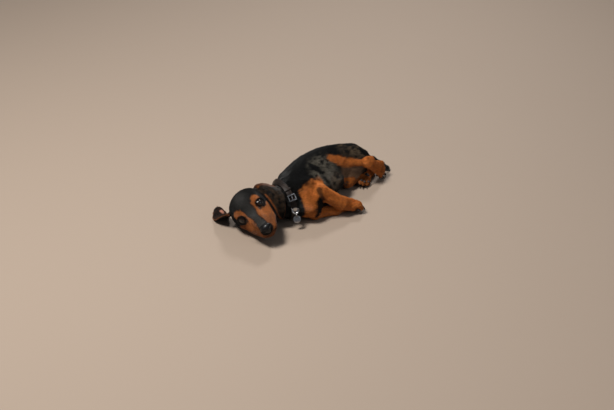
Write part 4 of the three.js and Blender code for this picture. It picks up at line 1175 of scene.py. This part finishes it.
# %% Stitches
STITCH = 2.2 * MM
STITCH_STEP = 3.2 * MM
STITCH_ROW = 3.6 * MM
OUTSIDE = 90 * MM
ring_at = (band_low + band_high) / 2
ring_axis = unit(SPINE[3] - SPINE[2])
ring_up = unit(np.array([0, 0, 1.0]) - ring_axis * ring_axis[2])
ring_side = np.cross(ring_axis, ring_up)
bm = bmesh.new()
stitches = 0
for row in (-1, 1):
    outer = []
    for turn in np.linspace(0, 2 * math.pi, 240, endpoint=False):
        way = ring_up * math.cos(turn) + ring_side * math.sin(turn)
        start = ring_at + way * OUTSIDE + ring_axis * row * STITCH_ROW
        hit = strap_surface.ray_cast(Vector(start), Vector(-way))
        if hit[0] is not None and hit[0].z > 2 * MM and (np.array(hit[0]) - ring_at) @ way > 0:
            outer.append((np.array(hit[0]), np.array(hit[1])))
    gone = STITCH_STEP
    for (here, up), (there, _) in zip(outer, outer[1:]):
        gone += np.linalg.norm(there - here)
        if gone < STITCH_STEP or np.linalg.norm(there - here) > 4 * MM:
            continue
        gone = 0
        along = unit(there - here)
        ends = [here - along * STITCH / 2, here, here + along * STITCH / 2]
        ends = [p + up * h * MM for p, h in zip(ends, (-0.1, 0.18, -0.1))]
        sweep(bm, ends, [0.2 * MM, 0.32 * MM, 0.2 * MM], 6)
        stitches += 1
make_piece("collar_stitches", bm, thread_finish)
print("stitches:", stitches)

# %% [markdown]
# ## Floor, light and camera
# The model lies on a plain beige floor, where a wide key lamp, a weak fill and a lamp from behind
# light it softly. The camera looks down at thirty degrees from two metres away with a longish lens,
# aimed at the floor under the dog's middle.

# %% Stage
bm = bmesh.new()
bmesh.ops.create_grid(bm, x_segments=2, y_segments=2, size=6.0)
floor_mesh = bpy.data.meshes.new("floor")
bm.to_mesh(floor_mesh)
bm.free()
floor = bpy.data.objects.new("floor", floor_mesh)
bpy.context.scene.collection.objects.link(floor)
floor_finish, tree, shader = new_material("pale_floor", (0.32, 0.25, 0.195), 0.8)
haze = pattern(tree, "ShaderNodeTexNoise", 3.0)
vary_roughness(tree, shader, haze.outputs["Fac"], 0.75, 0.85)
floor_mesh.materials.append(floor_finish)


def soft_lamp(name, at, size, power, colour):
    light = bpy.data.lights.new(name, "AREA")
    light.size = size
    light.energy = power
    light.color = colour
    lamp = bpy.data.objects.new(name, light)
    lamp.location = at
    lamp.rotation_euler = (-Vector(at)).to_track_quat("-Z", "Y").to_euler()
    bpy.context.scene.collection.objects.link(lamp)


soft_lamp("key_lamp", (-0.9, -0.5, 2.1), 0.55, 66, (1.0, 0.97, 0.93))
soft_lamp("fill_lamp", (1.7, -0.9, 1.3), 1.2, 4, (0.95, 0.97, 1.0))
soft_lamp("back_lamp", (0.4, 1.8, 1.7), 0.4, 22, (1.0, 1.0, 1.0))
world = bpy.data.worlds.new("soft_room")
world.use_nodes = True
world.node_tree.nodes["Background"].inputs["Color"].default_value = (0.9, 0.93, 1.0, 1)
world.node_tree.nodes["Background"].inputs["Strength"].default_value = 0.13
bpy.context.scene.world = world
bpy.context.scene.view_settings.view_transform = "Standard"

# %% Camera
CAMERA_FAR = 2.1
CAMERA_ABOVE = math.radians(30)
AIM = Vector((0.0070, -0.0008, 0.0))
lens = bpy.data.cameras.new("camera")
lens.lens = 60.1
lens.sensor_width = 36.0
camera = bpy.data.objects.new("camera", lens)
camera.location = AIM + CAMERA_FAR * Vector((0, -math.cos(CAMERA_ABOVE), math.sin(CAMERA_ABOVE)))
camera.rotation_euler = (math.pi / 2 - CAMERA_ABOVE, 0, 0)
bpy.context.scene.collection.objects.link(camera)
bpy.context.scene.camera = camera
